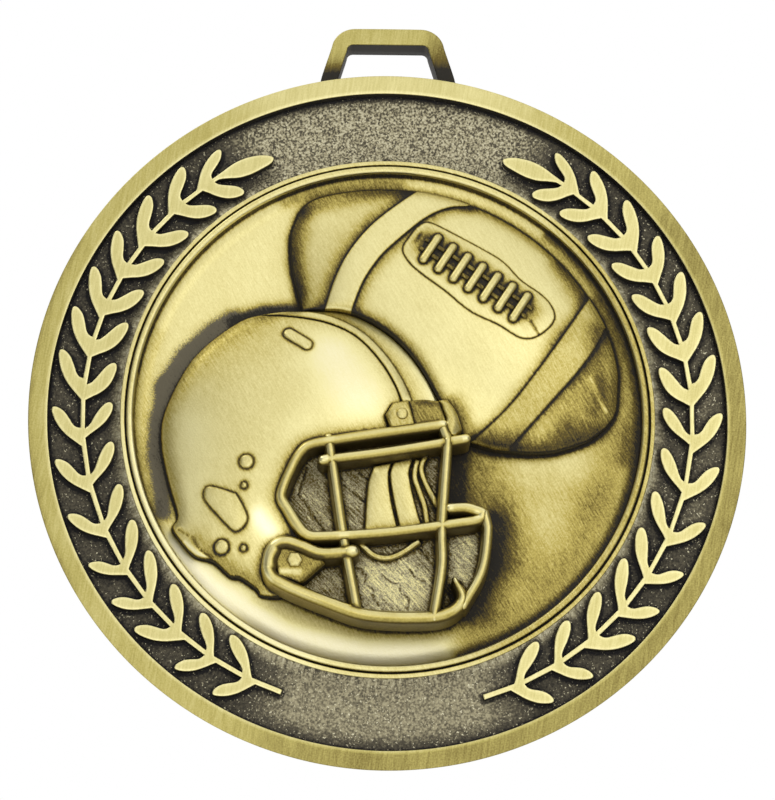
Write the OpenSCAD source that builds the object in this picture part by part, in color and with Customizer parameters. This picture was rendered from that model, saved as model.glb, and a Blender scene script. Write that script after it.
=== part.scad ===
// Die-cast award medal, 70 mm: a flat rim, a wreath band with two laurel
// branches, and a dished centre with a football behind a football helmet.
// The face looks along -Y, the ribbon loop points along +Z, and the origin
// is the centre of the disc on its flat back. All sizes are in millimetres.

/* [Disc] */
// Diameter of the disc
medal_d = 70; // [60:1:80]
// Thickness of the backing plate
plate_t = 1.2; // [0.9:0.1:1.6]
// Height of the rim above the back
rim_h = 4; // [3.8:0.1:5]
// Width of the flat rim
rim_w = 1.9; // [1.4:0.1:2.6]
// How far the side of the disc tapers in towards its back
side_draft = 0.6; // [0.2:0.1:0.9]

/* [Ribbon loop] */
// Width of the slot under the top bar
slot_top_w = 8.2; // [6:0.2:9]
// Width of the slot at the disc
slot_root_w = 10; // [9:0.2:11]
// Height of the slot above the disc
slot_h = 3.7; // [3.6:0.1:7]
// Thickness of the top bar
bar_t = 1.7; // [1:0.05:2]
// Width of each leg beside the slot
leg_w = 1.6; // [1.2:0.1:2.2]
// Depth of the loop from the back to its front face
loop_t = 3; // [1.8:0.1:3.4]

/* [Wreath band] */
// Width of the band from the rim to the lip
band_w = 7; // [6:0.2:8]
// Height of the band's floor
field_h = 3; // [2.6:0.1:3.3]
// Height of the leaves' flat tops
leaf_h = 4; // [3.7:0.1:4.6]
// Width of a branch's stem
stem_w = 0.5; // [0.3:0.05:0.8]
// Length of a leaf along the stem
leaf_len = 3; // [2.4:0.1:3.4]
// Space left between a leaf's tip and the edge of the band
leaf_gap = 0.35; // [0.2:0.05:0.8]

/* [Collar] */
// Width of the lip that ends the band
lip_w = 0.45; // [0.3:0.05:0.7]
// Height of the lip
lip_h = 3.65; // [3.4:0.05:4.2]
// Width of the groove between lip and bead
groove_w = 0.16; // [0.1:0.02:0.3]
// Height of the groove's floor
groove_h = 3.1; // [2.8:0.1:3.3]
// Width of the bead round the dish
bead_w = 0.64; // [0.4:0.04:1]
// Height of the bead
bead_h = 3.9; // [3.6:0.1:4.4]

/* [Dish] */
// Height of the dish's flat floor
dish_h = 2.2; // [1.8:0.1:2.4]
// Width of the cove at the edge of the dish
cove_w = 1.45; // [0.8:0.05:1.6]
// Rise of the cove
cove_h = 1.1; // [0.6:0.1:1.3]
// Clearance between the figure and the cove
figure_gap = 0.05; // [0:0.05:0.5]

/* [Football] */
// Height of the ball's crown above the dish floor
ball_crown = 2.9; // [2.4:0.1:3.2]
// Height of the ball's edge above the dish floor
ball_edge = 0.9; // [0.6:0.1:1.2]
// Thickness of the two stripes
stripe_t = 0.25; // [0.15:0.05:0.4]
// Thickness of the panel under the laces
panel_t = 0.12; // [0.08:0.02:0.2]
// Thickness of the cross laces above the panel
lace_t = 0.55; // [0.4:0.05:0.8]
// Width of a cross lace
lace_w = 0.86; // [0.5:0.02:0.9]

/* [Helmet] */
// Height of the shell's crown above the dish floor
shell_crown = 3.6; // [3.3:0.1:4]
// Height of the shell's edge above the dish floor
shell_edge = 1.1; // [0.9:0.1:1.5]
// Rise of the crest stripe over the shell
crest_t = 0.2; // [0.1:0.05:0.4]
// Step down to the far side of the shell
far_step = 0.45; // [0.3:0.05:0.7]
// Rise of the vent, ear boss and snaps over the shell
fitting_t = 0.25; // [0.15:0.05:0.5]
// Radius of the two large snaps
snap_r = 0.72; // [0.5:0.02:0.9]
// Radius of the two small snaps
dot_r = 0.34; // [0.25:0.01:0.5]
// Height of the front bumper above the dish floor
bumper_h = 2.9; // [2.6:0.1:3.4]
// Height of the lining above the dish floor
lining_h = 1; // [0.7:0.1:1.3]
// Thickness of the cheek pads on the lining
pad_t = 0.8; // [0.5:0.1:1.1]
// Thickness of the chin cup on the lining
cup_t = 1; // [0.6:0.1:1.2]

/* [Face guard] */
// Height of the wires above the dish floor
guard_h = 4.1; // [3.9:0.1:4.6]
// Width of the thin wires
wire_w = 0.8; // [0.6:0.05:0.9]
// Width of the thick jaw wire
jaw_w = 1; // [0.8:0.05:1.1]

/* [Hidden] */
$fn = 96;
cut = 1;                                      // how far a cutter reaches past a face

medal_r = medal_d / 2;
field_r = medal_r - rim_w;                    // outer edge of the band
lip_r = field_r - band_w;                     // outer edge of the lip
groove_r = lip_r - lip_w;
bead_r = groove_r - groove_w;
dish_r = bead_r - bead_w;                     // edge of the dish
floor_r = dish_r - cove_w;                    // edge of the flat floor
sweep_w = 1.6;                                // width and rise of the band's sweep up to the lip
sweep_h = 0.5;
soft_edge = 0.1;                              // rounding of the lip
bead_round = 0.3;                             // rise of the bead's round top
tall = 6;                                     // taller than any piece of the figure
stem_mid = 0.5;                               // place of the stem across the band
sweep_gap = 0.3;                              // how far inner leaves keep off the sweep
stem_sway = 0.35;                             // how far a branch bows outwards
branch_from = 30;                             // angles along a branch, from the loop
branch_to = 162;
slot_corner = 0.6;
loop_corner = 2.4;
leg_flare = 0.75;                             // how much a leg widens at the disc
arc_steps = 6;

// ---- helpers -------------------------------------------------------------

// Stands a face that was drawn in XY with its height along Z upright
module upright() rotate([90, 0, 0]) children();

// Points of the figure, fitted to the dish
function fit(points) = [for (p = points) p * art_k];

// One point between b and c on a smooth curve through a, b, c and d
function between(a, b, c, d, t) =
    0.5 * (2 * b + (c - a) * t + (2 * a - 5 * b + 4 * c - d) * t * t
        + (3 * b - a - 3 * c + d) * t * t * t);

// Smooth closed outline through the points
function ring(p, n = 3) = [
    for (i = [0 : len(p) - 1], k = [0 : n - 1])
        between(p[(i + len(p) - 1) % len(p)], p[i], p[(i + 1) % len(p)],
            p[(i + 2) % len(p)], k / n)
];

// Smooth open line through the points
function line(p, n = 3) = concat(
    [for (i = [0 : len(p) - 2], k = [0 : n - 1])
        between(p[max(i - 1, 0)], p[i], p[i + 1], p[min(i + 2, len(p) - 1)], k / n)],
    [p[len(p) - 1]]
);

function arc(c, r, from, to) = [
    for (k = [0 : arc_steps])
        let (a = from + (to - from) * k / arc_steps) c + r * [cos(a), sin(a)]
];

function unit(v) = v / norm(v);
function left_of(v) = [-v[1], v[0]];

// Sideways step at point i of a line that keeps both edges parallel to it
function side_step(p, i) =
    let (
        a = unit(p[max(i, 1)] - p[max(i, 1) - 1]),
        b = unit(p[min(i + 1, len(p) - 1)] - p[min(i, len(p) - 2)]),
        m = unit(left_of(a) + left_of(b))
    ) m / max(m * left_of(a), 0.5);

// Plan of a wire of width w along a line
function strip(p, w) = concat(
    [for (i = [0 : len(p) - 1]) p[i] + side_step(p, i) * w / 2],
    [for (i = [len(p) - 1 : -1 : 0]) p[i] - side_step(p, i) * w / 2]
);

// Round-ended bar of width w between two points
function bar(a, b, w) =
    let (
        u = unit(b - a) * w / 2,
        v = left_of(u)
    ) concat(
        [for (k = [0 : 2 * arc_steps]) let (t = 90 * k / arc_steps - 90) b + u * cos(t) + v * sin(t)],
        [for (k = [0 : 2 * arc_steps]) let (t = 90 * k / arc_steps + 90) a + u * cos(t) + v * sin(t)]
    );

// Solid wire of width w along a line, from height z0 to a round top at z1
module wire(p, w, z0, z1) {
    r = w / 2;
    section = [
        [-r, z0], [-r, z1 - r], [-0.75 * r, z1 - 0.4 * r], [-0.3 * r, z1],
        [0.3 * r, z1], [0.75 * r, z1 - 0.4 * r], [r, z1 - r], [r, z0]
    ];
    n = len(section);
    last = len(p) - 1;
    points = [
        for (i = [0 : last], s = section)
            let (q = p[i] + side_step(p, i) * s[0]) [q[0], q[1], s[1]]
    ];
    sides = [
        for (i = [0 : last - 1], j = [0 : n - 1])
            let (a = i * n + j, b = i * n + (j + 1) % n)
                each [[a, b, b + n], [a, b + n, a + n]]
    ];
    ends = [[for (j = [n - 1 : -1 : 0]) j], [for (j = [0 : n - 1]) last * n + j]];
    polyhedron(points, concat(sides, ends), convexity = 8);
}

// ---- disc, loop and wreath band -----------------------------------------

// Radius of the disc's tapered side at a height
function side_r(h) = medal_r - side_draft * (1 - h / rim_h);

module base_disc() color("goldenrod") upright()
    cylinder(r1 = side_r(0), r2 = side_r(plate_t), h = plate_t);

module outer_rim() color("khaki") upright()
    rotate_extrude()
        polygon([[field_r, plate_t], [side_r(plate_t), plate_t], [medal_r, rim_h], [field_r, rim_h]]);

loop_top = medal_r + slot_h + bar_t;
loop_half_top = slot_top_w / 2 + leg_w;
loop_half_root = slot_root_w / 2 + leg_w + leg_flare;
leg_z = sqrt(medal_r * medal_r - loop_half_root * loop_half_root);

// Mirrored outline from its right-hand half, listed from the bottom up
function mirrored(half) = concat(half, [for (i = [len(half) - 1 : -1 : 0]) [-half[i][0], half[i][1]]]);

module ribbon_loop() color("darkkhaki") upright()
    difference() {
        linear_extrude(loop_t)
            difference() {
                polygon(mirrored(concat(
                    [[loop_half_root, leg_z - leg_flare - side_draft]],
                    [[loop_half_root - 0.7 * leg_flare, leg_z + 0.3]],
                    [[loop_half_root - leg_flare, leg_z + 1.2]],
                    arc([loop_half_top - loop_corner, loop_top - loop_corner], loop_corner, 8, 90)
                )));
                polygon(mirrored(concat(
                    [[slot_root_w / 2, medal_r - side_draft - cut], [slot_root_w / 2, medal_r]],
                    arc([slot_top_w / 2 - slot_corner, medal_r + slot_h - slot_corner],
                        slot_corner, 0, 90)
                )));
            }
        translate([0, 0, -cut])
            cylinder(r1 = side_r(-cut), r2 = medal_r, h = rim_h + cut);
    }

// The band's floor is flat and sweeps up to the lip
module wreath_field() color("dimgray") upright()
    rotate_extrude()
        polygon([
            [lip_r, plate_t], [field_r, plate_t], [field_r, field_h],
            [lip_r + sweep_w, field_h], [lip_r + 0.5 * sweep_w, field_h + 0.3 * sweep_h],
            [lip_r + 0.2 * sweep_w, field_h + 0.7 * sweep_h], [lip_r, field_h + sweep_h]
        ]);

stem_r = lip_r + band_w * stem_mid;
side_out = field_r - leaf_gap - stem_r - stem_sway / 2;
side_in = stem_r - lip_r - leaf_gap - sweep_gap;

// Radius of a branch's stem at angle a, clockwise from the loop
function stem_radius(a) =
    stem_r + stem_sway * (sin(180 * (a - branch_from) / (branch_to - branch_from)) - 0.7);

// A point s along the stem towards the tip and t outwards from node angle a
function on_stem(a, s, t) =
    let (b = a - s * 180 / (PI * stem_r), r = stem_radius(a) + t) r * [sin(b), cos(b)];

// Angle at which each leaf pair leaves the stem, the reach of its outer and inner
// leaf as shares of a leaf's length, and how far the inner leaf's root is set
// towards the branch's tip, as a share of its reach
first_outer = 0.82;                           // share of the band that the first outer leaf crosses
LEAF_PAIRS = [
    [37.8, 1.03, 0.97, 0], [45, 1.03, 1, 0], [53.5, 1.13, 1.1, 0], [61.2, 1, 1.07, 0],
    [69.3, 1.07, 1.1, 0], [77.2, 1.07, 1.13, -0.1], [85.6, 1.13, 1.03, -0.2],
    [95.2, 0.97, 1.17, 0], [104.6, 0.93, 1.3, 0], [114.2, 0.83, 1.33, 0],
    [122.8, 0.67, 1.4, 0], [130.7, 0.7, 1.47, 0], [138.8, 1, 1.33, 0],
    [146.8, 0.7, 1.2, 0], [155.2, 0.77, 1.3, 0]
];

// Leaf outlines as shares of the reach along the stem and across the band,
// each from the crotch near the branch's tip, round the leaf, to the one behind
OUTER_LEAF = [
    [0.29, 0.08], [0.32, 0.2], [0.42, 0.31], [0.61, 0.42], [0.84, 0.58], [0.98, 0.77],
    [1.02, 0.92], [0.97, 1], [0.84, 1], [0.58, 0.9], [0.31, 0.74], [0.06, 0.53],
    [-0.14, 0.31], [-0.36, 0.08]
];
INNER_LEAF = [
    [0.31, -0.08], [0.35, -0.19], [0.44, -0.29], [0.6, -0.42], [0.83, -0.6], [0.96, -0.76],
    [1, -0.9], [0.93, -0.99], [0.77, -1], [0.5, -0.92], [0.25, -0.76], [0.05, -0.53],
    [-0.09, -0.29], [-0.22, -0.08]
];
// The inner leaves lower down are slimmer at the root
INNER_SLIM = [
    [0.22, -0.08], [0.27, -0.18], [0.39, -0.29], [0.59, -0.42], [0.82, -0.6], [0.98, -0.78],
    [1.02, -0.93], [0.94, -1.02], [0.8, -1.02], [0.64, -0.96], [0.42, -0.8], [0.25, -0.6],
    [0.11, -0.38], [0.02, -0.22], [-0.07, -0.08]
];
slim_after = 90;                              // angle after which the inner leaves are slim
TIP_LEAF = [
    [35, -0.08], [33.5, -0.2], [31.5, -0.37], [29, -0.45], [26, -0.43], [24.2, -0.37],
    [23.5, -0.24], [24.3, -0.1], [26, 0.03], [28.5, 0.13], [31, 0.15], [33.5, 0.1], [35, 0.08]
];

function leaf_edge(shape, a, reach, across, set = 0) =
    [for (q = line(shape, 3))
        on_stem(a, (q[0] + set * (1 - q[0] * q[0])) * reach * leaf_len, q[1] * across)];

// One outline: the tip leaf, down the outer leaves, and back up the inner ones
BRANCH = concat(
    [for (q = line(TIP_LEAF)) on_stem(q[0], 0, q[1] * leaf_len)],
    [for (i = [0 : len(LEAF_PAIRS) - 1])
        let (pair = LEAF_PAIRS[i], across = side_out * (i == 0 ? first_outer : 1))
            each leaf_edge(OUTER_LEAF, pair[0], pair[1], across)],
    [for (side = [1, -1]) on_stem(branch_to, 0, side * stem_w / 2)],
    [for (i = [len(LEAF_PAIRS) - 1 : -1 : 0])
        let (
            pair = LEAF_PAIRS[i],
            shape = pair[0] < slim_after ? INNER_LEAF : INNER_SLIM,
            edge = leaf_edge(shape, pair[0], pair[2], side_in, pair[3])
        ) each [for (k = [len(edge) - 1 : -1 : 0]) edge[k]]]
);

left_short = 2.3;                             // angle by which the left branch ends sooner
short_from = 80;

// A branch's point, drawn back along the band so that its foot ends sooner
function drawn_back(q, short) =
    let (
        a = atan2(q[0], q[1]),
        b = a - short * max(0, a - short_from) / (branch_to - short_from)
    ) norm(q) * [sin(b), cos(b)];

module branch(short = 0) upright()
    translate([0, 0, field_h])
        linear_extrude(leaf_h - field_h)
            polygon([for (q = BRANCH) drawn_back(q, short)]);

module laurel_right() color("palegoldenrod") branch();

module laurel_left() color("palegoldenrod") mirror([1, 0, 0]) branch(left_short);

// ---- collar and dish -----------------------------------------------------

module band_lip() color("khaki") upright()
    rotate_extrude()
        polygon([
            [groove_r, plate_t], [lip_r, plate_t], [lip_r, lip_h - soft_edge],
            [lip_r - soft_edge, lip_h], [groove_r + soft_edge, lip_h], [groove_r, lip_h - soft_edge]
        ]);

module dish_bead() color("khaki") upright()
    rotate_extrude()
        polygon(concat(
            [[dish_r, plate_t], [groove_r, plate_t], [groove_r, groove_h], [bead_r, groove_h]],
            [for (k = [0 : arc_steps])
                let (a = 180 * k / arc_steps)
                    [dish_r + bead_w / 2 * (1 + cos(a)), bead_h - bead_round * (1 - sin(a))]]
        ));

module centre_dish() color("darkkhaki") upright()
    rotate_extrude()
        polygon(concat(
            [[0, plate_t], [dish_r, plate_t]],
            [for (k = [arc_steps : -1 : 0])
                let (a = 90 * k / arc_steps)
                    [floor_r + cove_w * sin(a), dish_h + cove_h * (1 - cos(a))]],
            [[0, dish_h]]
        ));

// ---- plans of the figure -------------------------------------------------

// The ball's upper edge follows the dish
BALL_POINTS = concat(
    [[0, 2], [-7.5, 7.6], [-8.1, 9.4], [-8.5, 11.1], [-8.95, 12.9], [-9.4, 14.8], [-9.6, 16.8], [-9.4, 19.2]],
    arc([0, 0], 23.3, 109, 24),
    [[22.5, 5.2], [22.5, 2.4], [22.3, 0.6], [21.7, -0.5], [20.6, -1.6], [18.7, -2.7], [14.5, -3.6], [8, -2.6]]
);
// The figure fills the dish: the ball is what reaches furthest out
art_k = (floor_r - figure_gap) / max([for (p = BALL_POINTS) norm(p)]);
BALL = fit(BALL_POINTS);
STRIPE_LEFT = fit(concat(
    [[8.9, 22.4], [7.9, 24], [4, 24.5]],
    line([[3, 23.2], [-1.3, 19.5], [-3.8, 16.4], [-5.3, 13.4], [-6.5, 9.6]]),
    line([[-4, 9.2], [-2.6, 13], [-0.8, 15.8], [1.3, 17.9], [3.25, 19.7], [4.85, 20.8], [6.3, 21.4], [7.9, 21.65]])
));
STRIPE_RIGHT = fit(concat(
    line([[20.6, 13.3], [17.9, 9.1], [15.3, 5.3], [12.1, 1.1], [9.2, -1.7], [6.9, -3.5]]),
    line([[11.2, -4], [13.2, -1.8], [16.3, 1.7], [18.4, 4.2], [20.2, 6.7], [21.3, 8.8], [22, 10.6]])
));
LACE_PANEL = fit([
    [3.1, 19.2], [4.3, 19.45], [7, 18], [11, 15.7], [13, 13.6], [15.5, 11.7], [16.3, 9.7],
    [14.8, 7.9], [13, 7.5], [10.7, 8.8], [8, 10.1], [5.5, 12.2], [2.5, 14.6], [1.4, 16.4],
    [2, 17.8]
]);
LACE_FIRST = fit([[4.15, 16.6]])[0];
LACE_LAST = fit([[12.9, 10.65]])[0];
LACE_ENDS = fit([[3.35, 17.15], [13.8, 10.05]]);
lace_count = 7;
lace_len = 3.65;
lace_turn = 58;
cord_w = 0.4;
cord_gap = 1.1;

SHELL = fit([
    [-12.3, 10.1], [-15, 9.1], [-19, 5.6], [-21.6, 0.5], [-22, -3], [-21.2, -7], [-20.3, -10.2],
    [-20.8, -11.3], [-20, -12.6], [-18.6, -14.1], [-16.8, -14.6], [-15.2, -16], [-14.2, -16.2],
    [-12.6, -17.3], [-12.1, -17.9], [-9.9, -17.8], [-9.2, -15.4], [-8, -12.7], [-10, -9.2],
    [-8.6, -4.6], [-5.8, -3.4], [0.6, -2.5], [1.3, -2], [1.75, 1.2], [0.15, 4.6], [-2.2, 7.6],
    [-5, 9.2], [-8.5, 10.05]
]);
CREST = fit(concat(
    line([[-12.3, 10.1], [-9.6, 10.4], [-6.2, 10.05], [-3, 8.65], [-0.6, 6.4], [1.5, 3.2], [2.9, -0.6]]),
    line([[1.8, -0.8], [0.9, 2.3], [-0.8, 5.3], [-3.2, 7.85], [-6.2, 9.25], [-9.6, 9.85]])
));
FAR_EDGE = line(fit([[-9.8, 10.25], [-7.4, 10.6], [-3.7, 10.25], [-0.2, 8.4], [2.75, 5.3], [5.3, 0.8]]));
FAR_SIDE = concat(FAR_EDGE, line(fit([[2.4, -0.4], [1.3, 2.5], [-1.1, 6.3], [-5.3, 9.3], [-8.9, 10.1]])));
BEHIND_HELMET = concat(FAR_EDGE, fit([[6, -0.9], [5.6, -3], [-9, -3], [-12.3, 9.9]]));
OPENING = fit([
    [-8.6, -4.6], [-8, -3.9], [-5.8, -3.3], [1, -2.2], [5.1, -1.7], [5.9, -2.8], [7.5, -2.55],
    [7.5, -3.45], [6.1, -3.7], [5.7, -9.45], [7.5, -9.4], [9.3, -9.9], [9.8, -11], [9.9, -12.2],
    [9.3, -16.1], [7.6, -19.4], [5.9, -20.65], [3, -21.1], [-2, -20.9], [-5.2, -20], [-10.8, -17],
    [-11.5, -15.8], [-11.1, -13.9], [-10, -13.3], [-8.4, -13.7], [-7.6, -12.9], [-8.3, -12.2],
    [-10.3, -9], [-10.2, -8]
]);
VENT = fit([[-9.7, 7.85], [-7.95, 6.7]]);
vent_w = 1.1;
EAR_BOSS = fit([
    [-17.6, -7.75], [-16.9, -7.65], [-14.95, -8.3], [-14.55, -8.6], [-13.6, -10.4],
    [-13.65, -11.2], [-14.3, -11.85], [-15.1, -11.75], [-17.3, -9.4], [-17.8, -8.5]
]);
SNAPS = fit([[-13.7, -5.3], [-16, -13.4]]);
DOTS = fit([[-13.9, -7.6], [-13.9, -13.55]]);
BUMPER = fit([[1.9, 1], [3.4, 1.25], [4.9, 1.05], [5.6, -0.9], [4.6, -1.6], [2.6, -1.9]]);
CLIP_LEFT = fit([[0.4, 0.7], [1.9, 1], [2.6, -1.9], [0.4, -2.4], [-0.3, -0.5]]);
CLIP_RIGHT = fit([[4.9, 1.05], [5.7, 1.1], [6.5, -0.1], [7.1, -1.8], [6.4, -2.6], [5.3, -2.3], [5.6, -0.9]]);
clip_screw_r = 0.6;
clip_rise = 0.6;                              // rise of the clips over the bumper
pad_step = 0.15;                              // step between the two cheek pads
strap_w = 0.5;
CLIP_SCREW = fit([[1.3, -0.45]])[0];
PAD_REAR = fit([[-1.4, -5.3], [-1.95, -6.9], [-2.3, -12], [0.9, -11.7], [0.2, -8.4], [0, -6], [0.3, -4.9]]);
PAD_FRONT = fit([
    [0.5, -4.9], [0.2, -6.1], [0.5, -8.4], [1.2, -11.7],
    [3.2, -11.4], [2.5, -8.3], [2, -6.1], [2.4, -4.3]
]);
STRAP = line(fit([[3.8, -3.9], [3.2, -5.4], [3.8, -7.3], [4.9, -9.5]]));
PAD_EDGE = line(fit([[2.85, -4.6], [2.55, -6.2], [3.05, -7.8], [3.5, -9.2], [3.75, -10.9]]));
CUP = line(fit([[-2.8, -12.9], [-1.5, -14], [-0.1, -14.3], [1.3, -13.8], [3, -12.7]]));

LOOP_WIRE = line(fit([
    [5.2, -1.6], [1, -2.2], [-5.8, -3.3], [-7.8, -3.8], [-8.7, -4.7], [-9.5, -6.3], [-10.2, -8.1],
    [-10.3, -9], [-9.7, -10.1], [-8.5, -12], [-7.8, -12.6], [-6.8, -12.75], [0, -12.3],
    [7, -11.3], [8.8, -10.9], [9, -10.3], [7.5, -9.85], [5.9, -9.9]
]));
BROW_WIRE = fit([[-6.2, -5.15], [0, -4.3], [7.4, -3]]);
LINK_REAR = fit([[-5.75, -3.3], [-5.5, -5.1]]);
LINK_FRONT = fit([[5.1, -1.6], [5.8, -3.3]]);
REAR_UPRIGHT = line(fit([[-5.4, -5.2], [-4.3, -12.4], [-3, -19.8]]));
FRONT_UPRIGHT = line(fit([[5.7, -3.2], [5.1, -12], [5.1, -15.5], [4.3, -20.6]]));
JAW_WIRE = line(fit([
    [-3.5, -14.2], [-6.5, -14.4], [-8.4, -13.7], [-10, -13.3], [-11.1, -13.9], [-11.5, -15.8],
    [-10.8, -17], [-5, -19.5], [-2, -20.4], [3, -20.6], [5.6, -20.2], [7, -18.8], [6.3, -16.9]
]));
FRONT_WIRE = line(fit([[9.2, -10.4], [9.5, -12], [8.9, -16], [7.1, -19.4]]));
JAW_CLIP = fit([
    [-10.9, -14], [-10, -13.4], [-8.5, -13.8], [-6.9, -14.4], [-6.1, -15.2], [-7.1, -16.1],
    [-8, -16.9], [-8.6, -17.2], [-10.6, -16.5]
]);
nut_r = 0.8;
nut_t = 0.4;
clip_drop = 0.6;                              // step from the wires' crowns down to the jaw clip
wire_step = 0.1;                              // lower wires lie this much under the loop wire
NUT = fit([[-9, -15]])[0];

// ---- figure --------------------------------------------------------------

// Prism on the dish floor up to a height above it
module block(outline, h = tall)
    translate([0, 0, dish_h])
        linear_extrude(h)
            polygon(outline);

// Prism on the lining, where the wires and the pads stand
module on_lining(outline, h = tall)
    translate([0, 0, lining_h])
        block(outline, h);

// Everything that the wires of the face guard cover
module guard_plan() {
    for (path = [LOOP_WIRE, BROW_WIRE, LINK_REAR, LINK_FRONT, REAR_UPRIGHT, FRONT_UPRIGHT, FRONT_WIRE])
        on_lining(strip(path, wire_w));
    on_lining(strip(JAW_WIRE, jaw_w));
}

ball_middle = fit([[6.5, 9.6]])[0];
ball_turn = -34;
ball_half_w = 10.7 * art_k;
ball_half_l = 19.5 * art_k;
ball_drop = ball_crown - ball_edge;
ball_across = (ball_half_w * ball_half_w + ball_drop * ball_drop) / (2 * ball_drop);
ball_along = (ball_half_l * ball_half_l + ball_drop * ball_drop) / (2 * ball_drop);
ball_reach = ball_half_l + 3;

// Barrel whose back is the curved face of the ball, raised by rise
module ball_form(rise = 0)
    translate([ball_middle[0], ball_middle[1], dish_h + ball_crown - ball_across])
        rotate([0, 0, ball_turn])
            rotate([0, 90, 0])
                rotate_extrude($fn = 180)
                    polygon(concat(
                        [for (k = [-8 : 8])
                            let (x = ball_reach * k / 8)
                                [ball_across + rise + sqrt(ball_along * ball_along - x * x) - ball_along, x]],
                        [[0, ball_reach], [0, -ball_reach]]
                    ));

module helmet_plan() {
    block(BEHIND_HELMET);
    block(CLIP_RIGHT);
}

// Layer of the ball between two rises, inside an outline
module ball_layer(outline, from, to)
    difference() {
        intersection() {
            block(outline);
            ball_form(to);
        }
        ball_form(from);
        helmet_plan();
    }

module football_body() color("khaki") upright()
    difference() {
        intersection() {
            block(ring(BALL));
            ball_form();
        }
        helmet_plan();
    }

module football_stripe_left() color("palegoldenrod") upright()
    intersection() {
        block(ring(BALL));
        ball_layer(STRIPE_LEFT, 0, stripe_t);
    }

module football_stripe_right() color("palegoldenrod") upright()
    intersection() {
        block(ring(BALL));
        ball_layer(STRIPE_RIGHT, 0, stripe_t);
    }

module lace_panel() color("darkkhaki") upright()
    ball_layer(ring(LACE_PANEL), 0, panel_t);

lace_dir = [cos(lace_turn), sin(lace_turn)];

module lace_plans()
    for (k = [0 : lace_count - 1]) {
        c = LACE_FIRST + (LACE_LAST - LACE_FIRST) * k / (lace_count - 1);
        half = lace_dir * (lace_len * art_k - lace_w) / 2;
        block(bar(c - half, c + half, lace_w));
    }

module cross_laces() color("palegoldenrod") upright()
    difference() {
        intersection() {
            lace_plans();
            ball_form(panel_t + lace_t);
        }
        ball_form(panel_t);
    }

module lace_cords() color("khaki") upright()
    difference() {
        intersection() {
            for (s = [-1, 1])
                block(strip([for (e = LACE_ENDS) e + s * lace_dir * cord_gap / 2], cord_w));
            ball_form(panel_t + lace_t / 2);
        }
        ball_form(panel_t);
        lace_plans();
    }

shell_top = fit([[-9, -3]])[0];
shell_half = 14.5 * art_k;
shell_drop = shell_crown - shell_edge;
shell_r = (shell_half * shell_half + shell_drop * shell_drop) / (2 * shell_drop);

// Ball whose upper face is the shell's curved face, raised by rise
module shell_form(rise = 0)
    translate([shell_top[0], shell_top[1], dish_h + shell_crown - shell_r])
        sphere(r = shell_r + rise, $fn = 180);

// Layer over the shell between two rises, inside the child's plan
module shell_layer(from, to)
    difference() {
        intersection() {
            children();
            shell_form(to);
        }
        shell_form(from);
    }

module helmet_shell() color("palegoldenrod") upright()
    difference() {
        intersection() {
            block(ring(SHELL));
            shell_form();
        }
        block(OPENING);
        block(CREST);
        block(FAR_SIDE);
        block(BUMPER);
        block(CLIP_LEFT);
        block(JAW_CLIP);
        guard_plan();
    }

module helmet_far_side() color("darkkhaki") upright()
    difference() {
        intersection() {
            block(FAR_SIDE);
            shell_form(-far_step);
        }
        block(CREST);
        block(BUMPER);
        block(CLIP_LEFT);
        block(CLIP_RIGHT);
    }

module crest_stripe() color("lemonchiffon") upright()
    difference() {
        intersection() {
            block(CREST);
            shell_form(crest_t);
        }
        block(BUMPER);
        block(CLIP_LEFT);
    }

module crown_vent() color("khaki") upright()
    shell_layer(0, fitting_t)
        block(bar(VENT[0], VENT[1], vent_w));

module ear_boss() color("khaki") upright()
    shell_layer(0, fitting_t)
        block(ring(EAR_BOSS));

module shell_snaps() color("khaki") upright()
    shell_layer(0, fitting_t) {
        for (c = SNAPS)
            translate([c[0], c[1], dish_h])
                cylinder(r = snap_r, h = tall, $fn = 32);
        for (c = DOTS)
            translate([c[0], c[1], dish_h])
                cylinder(r = dot_r, h = tall, $fn = 24);
    }

module front_bumper() color("darkkhaki") upright()
    difference() {
        block(BUMPER, bumper_h);
        block(CLIP_LEFT);
        guard_plan();
    }

module bumper_clips() color("khaki") upright() {
    difference() {
        block(CLIP_LEFT, bumper_h + clip_rise);
        guard_plan();
    }
    translate([CLIP_SCREW[0], CLIP_SCREW[1], dish_h + bumper_h + clip_rise])
        cylinder(r = clip_screw_r, h = fitting_t, $fn = 32);
    difference() {
        block(CLIP_RIGHT, bumper_h + clip_rise / 3);
        block(BUMPER);
        guard_plan();
    }
}

module helmet_lining() color("dimgray") upright()
    difference() {
        block(OPENING, lining_h);
        block(BUMPER);
        block(CLIP_LEFT);
        block(CLIP_RIGHT);
        block(JAW_CLIP);
    }

module cheek_pads() color("khaki") upright()
    difference() {
        union() {
            on_lining(PAD_REAR, pad_t - pad_step);
            on_lining(PAD_FRONT, pad_t);
            on_lining(strip(STRAP, strap_w), pad_t);
            on_lining(strip(PAD_EDGE, strap_w), pad_t - pad_step);
        }
        guard_plan();
    }

module chin_cup() color("khaki") upright()
    difference() {
        on_lining(strip(CUP, strap_w), cup_t);
        guard_plan();
    }

module guard_wire(path, w, h)
    wire(path, w, dish_h + lining_h, dish_h + h);

module guard_loop_wire() color("gold") upright()
    guard_wire(LOOP_WIRE, wire_w, guard_h);

module guard_brow_wire() color("gold") upright()
    difference() {
        guard_wire(BROW_WIRE, wire_w, guard_h - wire_step);
        on_lining(strip(LOOP_WIRE, wire_w));
        block(CLIP_RIGHT);
    }

module guard_links() color("gold") upright()
    difference() {
        union() {
            guard_wire(LINK_REAR, wire_w, guard_h - wire_step);
            guard_wire(LINK_FRONT, wire_w, guard_h - wire_step);
        }
        on_lining(strip(LOOP_WIRE, wire_w));
        on_lining(strip(BROW_WIRE, wire_w));
        block(CLIP_RIGHT);
    }

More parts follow.
